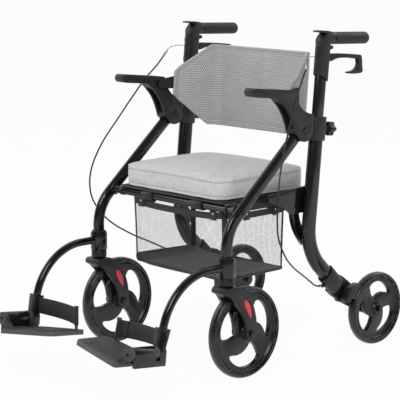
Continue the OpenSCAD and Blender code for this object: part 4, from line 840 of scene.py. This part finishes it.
band = cut_from_net("basket_band")
bpy.ops.object.mode_set(mode="EDIT")
bpy.ops.mesh.select_all(action="SELECT")
bpy.ops.mesh.bisect(plane_co=(0, 0, rim_z - 0.018), plane_no=(0, 0, 1), clear_inner=True)
bpy.ops.object.mode_set(mode="OBJECT")
tapes = cut_from_net("basket_corner_tapes")
pick_faces(tapes, lambda normal: min(abs(normal.x), abs(normal.y)) < 0.4)
bpy.ops.mesh.delete(type="FACE")
bpy.ops.object.mode_set(mode="OBJECT")


def give_with_frame(piece):
    """Bakes a soft piece's placement into its mesh."""
    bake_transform(piece)


def foot_lift(u, v):
    """How far the foot is drawn up, in metres. From -1 to 1, u goes right to left and v front to back."""
    edge = min(max((-u - 0.8) / 0.2, 0), 1) ** 2
    return 0.012 * edge + 0.012 * edge * max(0, -v) ** 3 - 0.004 * max(0, 1 - u * u)


# The net hangs a little slack, drawn in by up to 7 mm between the corners. The tabs pull its front corners
# up, and the floor is curled up along the right side.
for piece in (net, band, tapes):
    for point in piece.data.vertices:
        u = (point.co.x - floor_middle.x) / wall_half_x
        v = (point.co.y - floor_middle.y) / floor_half_y
        h = (point.co.z - floor_z) / (rim_z - floor_z)
        slack = 0.007 * math.sin(math.pi * min(max(h, 0), 1))
        if abs(v) > 0.9:
            point.co.y -= math.copysign(slack * max(0, 1 - u ** 4), v)
        elif abs(u) > 0.9:
            point.co.x -= math.copysign(slack * max(0, 1 - v ** 4), u)
        point.co.z += (1 - h) * foot_lift(u, v) + h * 0.011 * min(abs(u), 1) ** 4 * max(0, -v) ** 3
pick(net)
bpy.ops.object.shade_smooth()
net.data.materials.append(basket_net)
give_with_frame(net)
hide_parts("basket")
for strip in (band, tapes):
    pick(strip)
    weave_wall = strip.modifiers.new("webbing", "SOLIDIFY")
    weave_wall.thickness = 0.003
    weave_wall.offset = 0
    bpy.ops.object.modifier_apply(modifier="webbing")
    bpy.ops.object.shade_smooth_by_angle(angle=math.radians(40))
    strip.data.materials.clear()
    strip.data.materials.append(black_webbing)
    give_with_frame(strip)

# The floor is a stiff mat, 4 mm thick with its cover. It sags by a few millimetres in the middle.
pick(floor)
bpy.ops.object.mode_set(mode="EDIT")
bpy.ops.mesh.select_all(action="SELECT")
bpy.ops.mesh.region_to_loop()
bpy.ops.mesh.duplicate()
bpy.ops.mesh.separate(type="SELECTED")
bpy.ops.mesh.select_all(action="SELECT")
bpy.ops.mesh.poke()
bpy.ops.mesh.subdivide(number_cuts=6)
bpy.ops.object.mode_set(mode="OBJECT")
piping = next(o for o in bpy.context.selected_objects if o != floor)
for point in floor.data.vertices:
    u = (point.co.x - floor_middle.x) / floor_half_x
    v = (point.co.y - floor_middle.y) / floor_half_y
    point.co.z += 0.002 - 0.003 * max(0, 1 - u * u) * max(0, 1 - v * v) + foot_lift(u, v)
for point in piping.data.vertices:
    away = point.co - floor_middle
    point.co.z += foot_lift(away.x / floor_half_x, away.y / floor_half_y)
pick(floor)
board = floor.modifiers.new("board", "SOLIDIFY")
board.thickness = 0.004
board.offset = 0
bpy.ops.object.modifier_apply(modifier="board")
bpy.ops.object.shade_smooth_by_angle(angle=math.radians(40))
floor.data.materials.append(oxford_cloth)
give_with_frame(floor)

piping.name = "basket_foot_piping"
pick(piping)
bpy.ops.object.convert(target="CURVE")
piping.data.bevel_depth = 0.003
piping.data.bevel_resolution = 3
bpy.ops.object.convert(target="MESH")
bpy.ops.object.shade_smooth()
piping.data.materials.append(black_webbing)
give_with_frame(piping)

for name, middle_at, size, stud_way in (
        ("front_tab", (147, -274.5, 438.5), (26, 1.8, 35), (0, -1, 0)),
        ("side_tab_front", (192, -190, 433), (1.8, 24, 34), (1, 0, 0)),
        ("side_tab_back", (192, -74, 433), (1.8, 24, 34), (1, 0, 0)),
        ("back_tab", (176, -26.5, 436), (20, 1.8, 30), None),
        ("back_loop", (176, -17.5, 450), (20, 18.5, 1.8), None)):
    for side, sign in (("left", 1), ("right", -1)):
        tab_at = spot(sign * middle_at[0], middle_at[1], middle_at[2])
        bpy.ops.object.select_all(action="DESELECT")
        bpy.ops.mesh.primitive_cube_add(size=1, location=tab_at)
        tab = bpy.context.object
        tab.name = "basket_" + name + "_" + side
        tab.scale = [length / 1000 for length in size]
        bpy.ops.object.transform_apply(location=True, rotation=True, scale=True)
        hem = tab.modifiers.new("turned edges", "BEVEL")
        hem.width = 0.0007
        hem.segments = 2
        bpy.ops.object.modifier_apply(modifier="turned edges")
        bpy.ops.object.shade_smooth_by_angle(angle=math.radians(40))
        tab.data.materials.append(black_webbing)
        give_with_frame(tab)
        if stud_way is None:
            continue
        out = Vector((sign * stud_way[0], stud_way[1], stud_way[2]))
        bpy.ops.mesh.primitive_uv_sphere_add(segments=32, ring_count=16, radius=0.005)
        stud = bpy.context.object
        stud.name = "basket_stud_" + name + "_" + side
        stud.scale = (1, 1, 0.5)
        stud.rotation_euler = out.to_track_quat("Z", "Y").to_euler()
        stud.location = spot(sign * middle_at[0], middle_at[1], middle_at[2] + 2) + 0.0012 * out
        bpy.ops.object.transform_apply(location=True, rotation=True, scale=True)
        bpy.ops.object.shade_smooth()
        stud.data.materials.append(ferrule_nickel)
        give_with_frame(stud)

# Heel straps
# A band of black webbing, 46 mm wide, behind each footplate keeps the foot from slipping back. One end is
# held at the hanger, the other goes round the plate's headed post and leans with it.
strap_line = [(246.8, -573.7), (230, -570.5), (200, -565.5), (168, -562), (136, -561.5), (110, -563),
              (96, -564.3), (88, -564.5), (83.3, -566.2), (81.7, -570), (83.5, -574), (87.5, -575.3),
              (91.5, -573.4), (95.5, -568.6), (104, -565.8), (118, -564.8)]
strap_z, strap_half = 0.164, 0.023
post_lean_x, post_lean_y = 0.1309, 0.1228
for side, sign in (("left", 1), ("right", -1)):
    bpy.ops.object.select_all(action="DESELECT")
    bpy.ops.curve.primitive_bezier_curve_add()
    strap = bpy.context.object
    strap.name = "heel_webbing_" + side
    strap.matrix_world.identity()
    strap.data.dimensions = "2D"
    strap.data.fill_mode = "NONE"
    bends = strap.data.splines[0].bezier_points
    bends.add(len(strap_line) - 2)
    for bend, (x, y) in zip(bends, strap_line):
        bend.co = spot(sign * x, y, 0)
        bend.handle_left_type = "AUTO"
        bend.handle_right_type = "AUTO"
    strap.data.resolution_u = 6
    strap.data.extrude = strap_half
    strap.location = (0, 0, strap_z)
    bpy.ops.object.convert(target="MESH")
    bpy.ops.object.transform_apply(location=True, rotation=True, scale=True)
    for point in strap.data.vertices:
        near_post = min(max((0.235 - abs(point.co.x)) / 0.135, 0), 1)
        point.co.x += sign * post_lean_x * near_post * (point.co.z - strap_z)
        point.co.y += post_lean_y * near_post * (point.co.z - strap_z)
        point.co.z -= 0.005 * near_post
    webbing = strap.modifiers.new("webbing", "SOLIDIFY")
    webbing.thickness = 0.002
    webbing.offset = 0
    bpy.ops.object.modifier_apply(modifier="webbing")
    bpy.ops.object.shade_smooth_by_angle(angle=math.radians(40))
    strap.data.materials.clear()
    strap.data.materials.append(black_webbing)
    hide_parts("heel_strap_" + side)
    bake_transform(strap)

# Floor and light
# The chair stands on a plain white floor before a white backdrop, under soft studio light: a wide lamp above
# and before the camera, a weaker one on the picture's left and one behind on its right. The room behind the
# camera is dim, so that gloss black mirrors the backdrop along its edges only.
studio_floor = bare_material("studio_floor")
place = add_node(studio_floor, "TexCoord", {})
sweep = add_node(studio_floor, "TexNoise", {"Vector": place.outputs["Object"], "Scale": 1.5, "Detail": 1})
tint = add_node(studio_floor, "Mix", {0: sweep.outputs["Fac"], 6: linear("#f2f2f2"),
                                      7: linear("#f6f6f6")}, data_type="RGBA").outputs[2]
skin = add_node(studio_floor, "BsdfDiffuse", {"Color": tint})
shine = add_node(studio_floor, "Emission", {"Color": (1, 1, 1, 1), "Strength": 1.0})
rays = add_node(studio_floor, "LightPath", {})
seen = add_node(studio_floor, "Math", {0: rays.outputs["Is Camera Ray"], 1: rays.outputs["Is Glossy Ray"]},
                operation="MAXIMUM")
share = add_node(studio_floor, "Math", {0: seen.outputs[0], 1: 0.94}, operation="MULTIPLY")
both = add_node(studio_floor, "MixShader", {0: share.outputs[0], 1: skin.outputs[0], 2: shine.outputs[0]})
add_node(studio_floor, "OutputMaterial", {"Surface": both.outputs[0]})
bpy.ops.object.select_all(action="DESELECT")
bpy.ops.mesh.primitive_plane_add(size=60, location=(0, 0, -0.0005))
ground = bpy.context.object
ground.name = "studio_floor"
ground.data.materials.append(studio_floor)

sky = bpy.data.worlds.new("studio_sky")
bpy.context.scene.world = sky
sky.use_nodes = True
sky.node_tree.nodes.clear()
rays = add_node(sky, "LightPath", {})
toward = add_node(sky, "TexCoord", {})
view_way = (-0.719, 0.695, 0)
across = add_node(sky, "VectorMath", {0: toward.outputs["Generated"], 1: view_way}, operation="DOT_PRODUCT")
backdrop = add_node(sky, "MapRange", {"Value": across.outputs["Value"], "From Min": -0.1, "From Max": 0.35,
                                      "To Min": 0.16, "To Max": 1.0})
mirrored = add_node(sky, "Math", {0: rays.outputs["Is Glossy Ray"], 1: backdrop.outputs[0]},
                    operation="MULTIPLY")
direct = add_node(sky, "Math", {0: rays.outputs["Is Camera Ray"], 1: rays.outputs["Is Transmission Ray"]},
                  operation="MAXIMUM")
bright = add_node(sky, "Math", {0: direct.outputs[0], 1: mirrored.outputs[0]}, operation="MAXIMUM")
special = add_node(sky, "Math", {0: direct.outputs[0], 1: rays.outputs["Is Glossy Ray"]}, operation="MAXIMUM")
even = add_node(sky, "Math", {0: 1.0, 1: special.outputs[0]}, operation="SUBTRACT")
fill = add_node(sky, "Math", {0: even.outputs[0], 1: 0.6}, operation="MULTIPLY")
level = add_node(sky, "Math", {0: bright.outputs[0], 1: fill.outputs[0]}, operation="ADD")
dome = add_node(sky, "Background", {"Color": (1, 1, 1, 1), "Strength": level.outputs[0]})
add_node(sky, "OutputWorld", {"Surface": dome.outputs[0]})
for name, where, watts, width in (("key", (2.2, -2.6, 3.2), 80, 2.0), ("fill", (-2.8, -1.2, 2.2), 18, 2.0),
                                  ("back", (0.6, 3.0, 2.6), 20, 2.0)):
    toward = Vector((0, 0, 0.45)) - Vector(where)
    bpy.ops.object.light_add(type="AREA", location=where, rotation=toward.to_track_quat("-Z", "Y").to_euler())
    lamp = bpy.context.object
    lamp.name = "studio_" + name
    lamp.data.energy = watts
    lamp.data.size = width
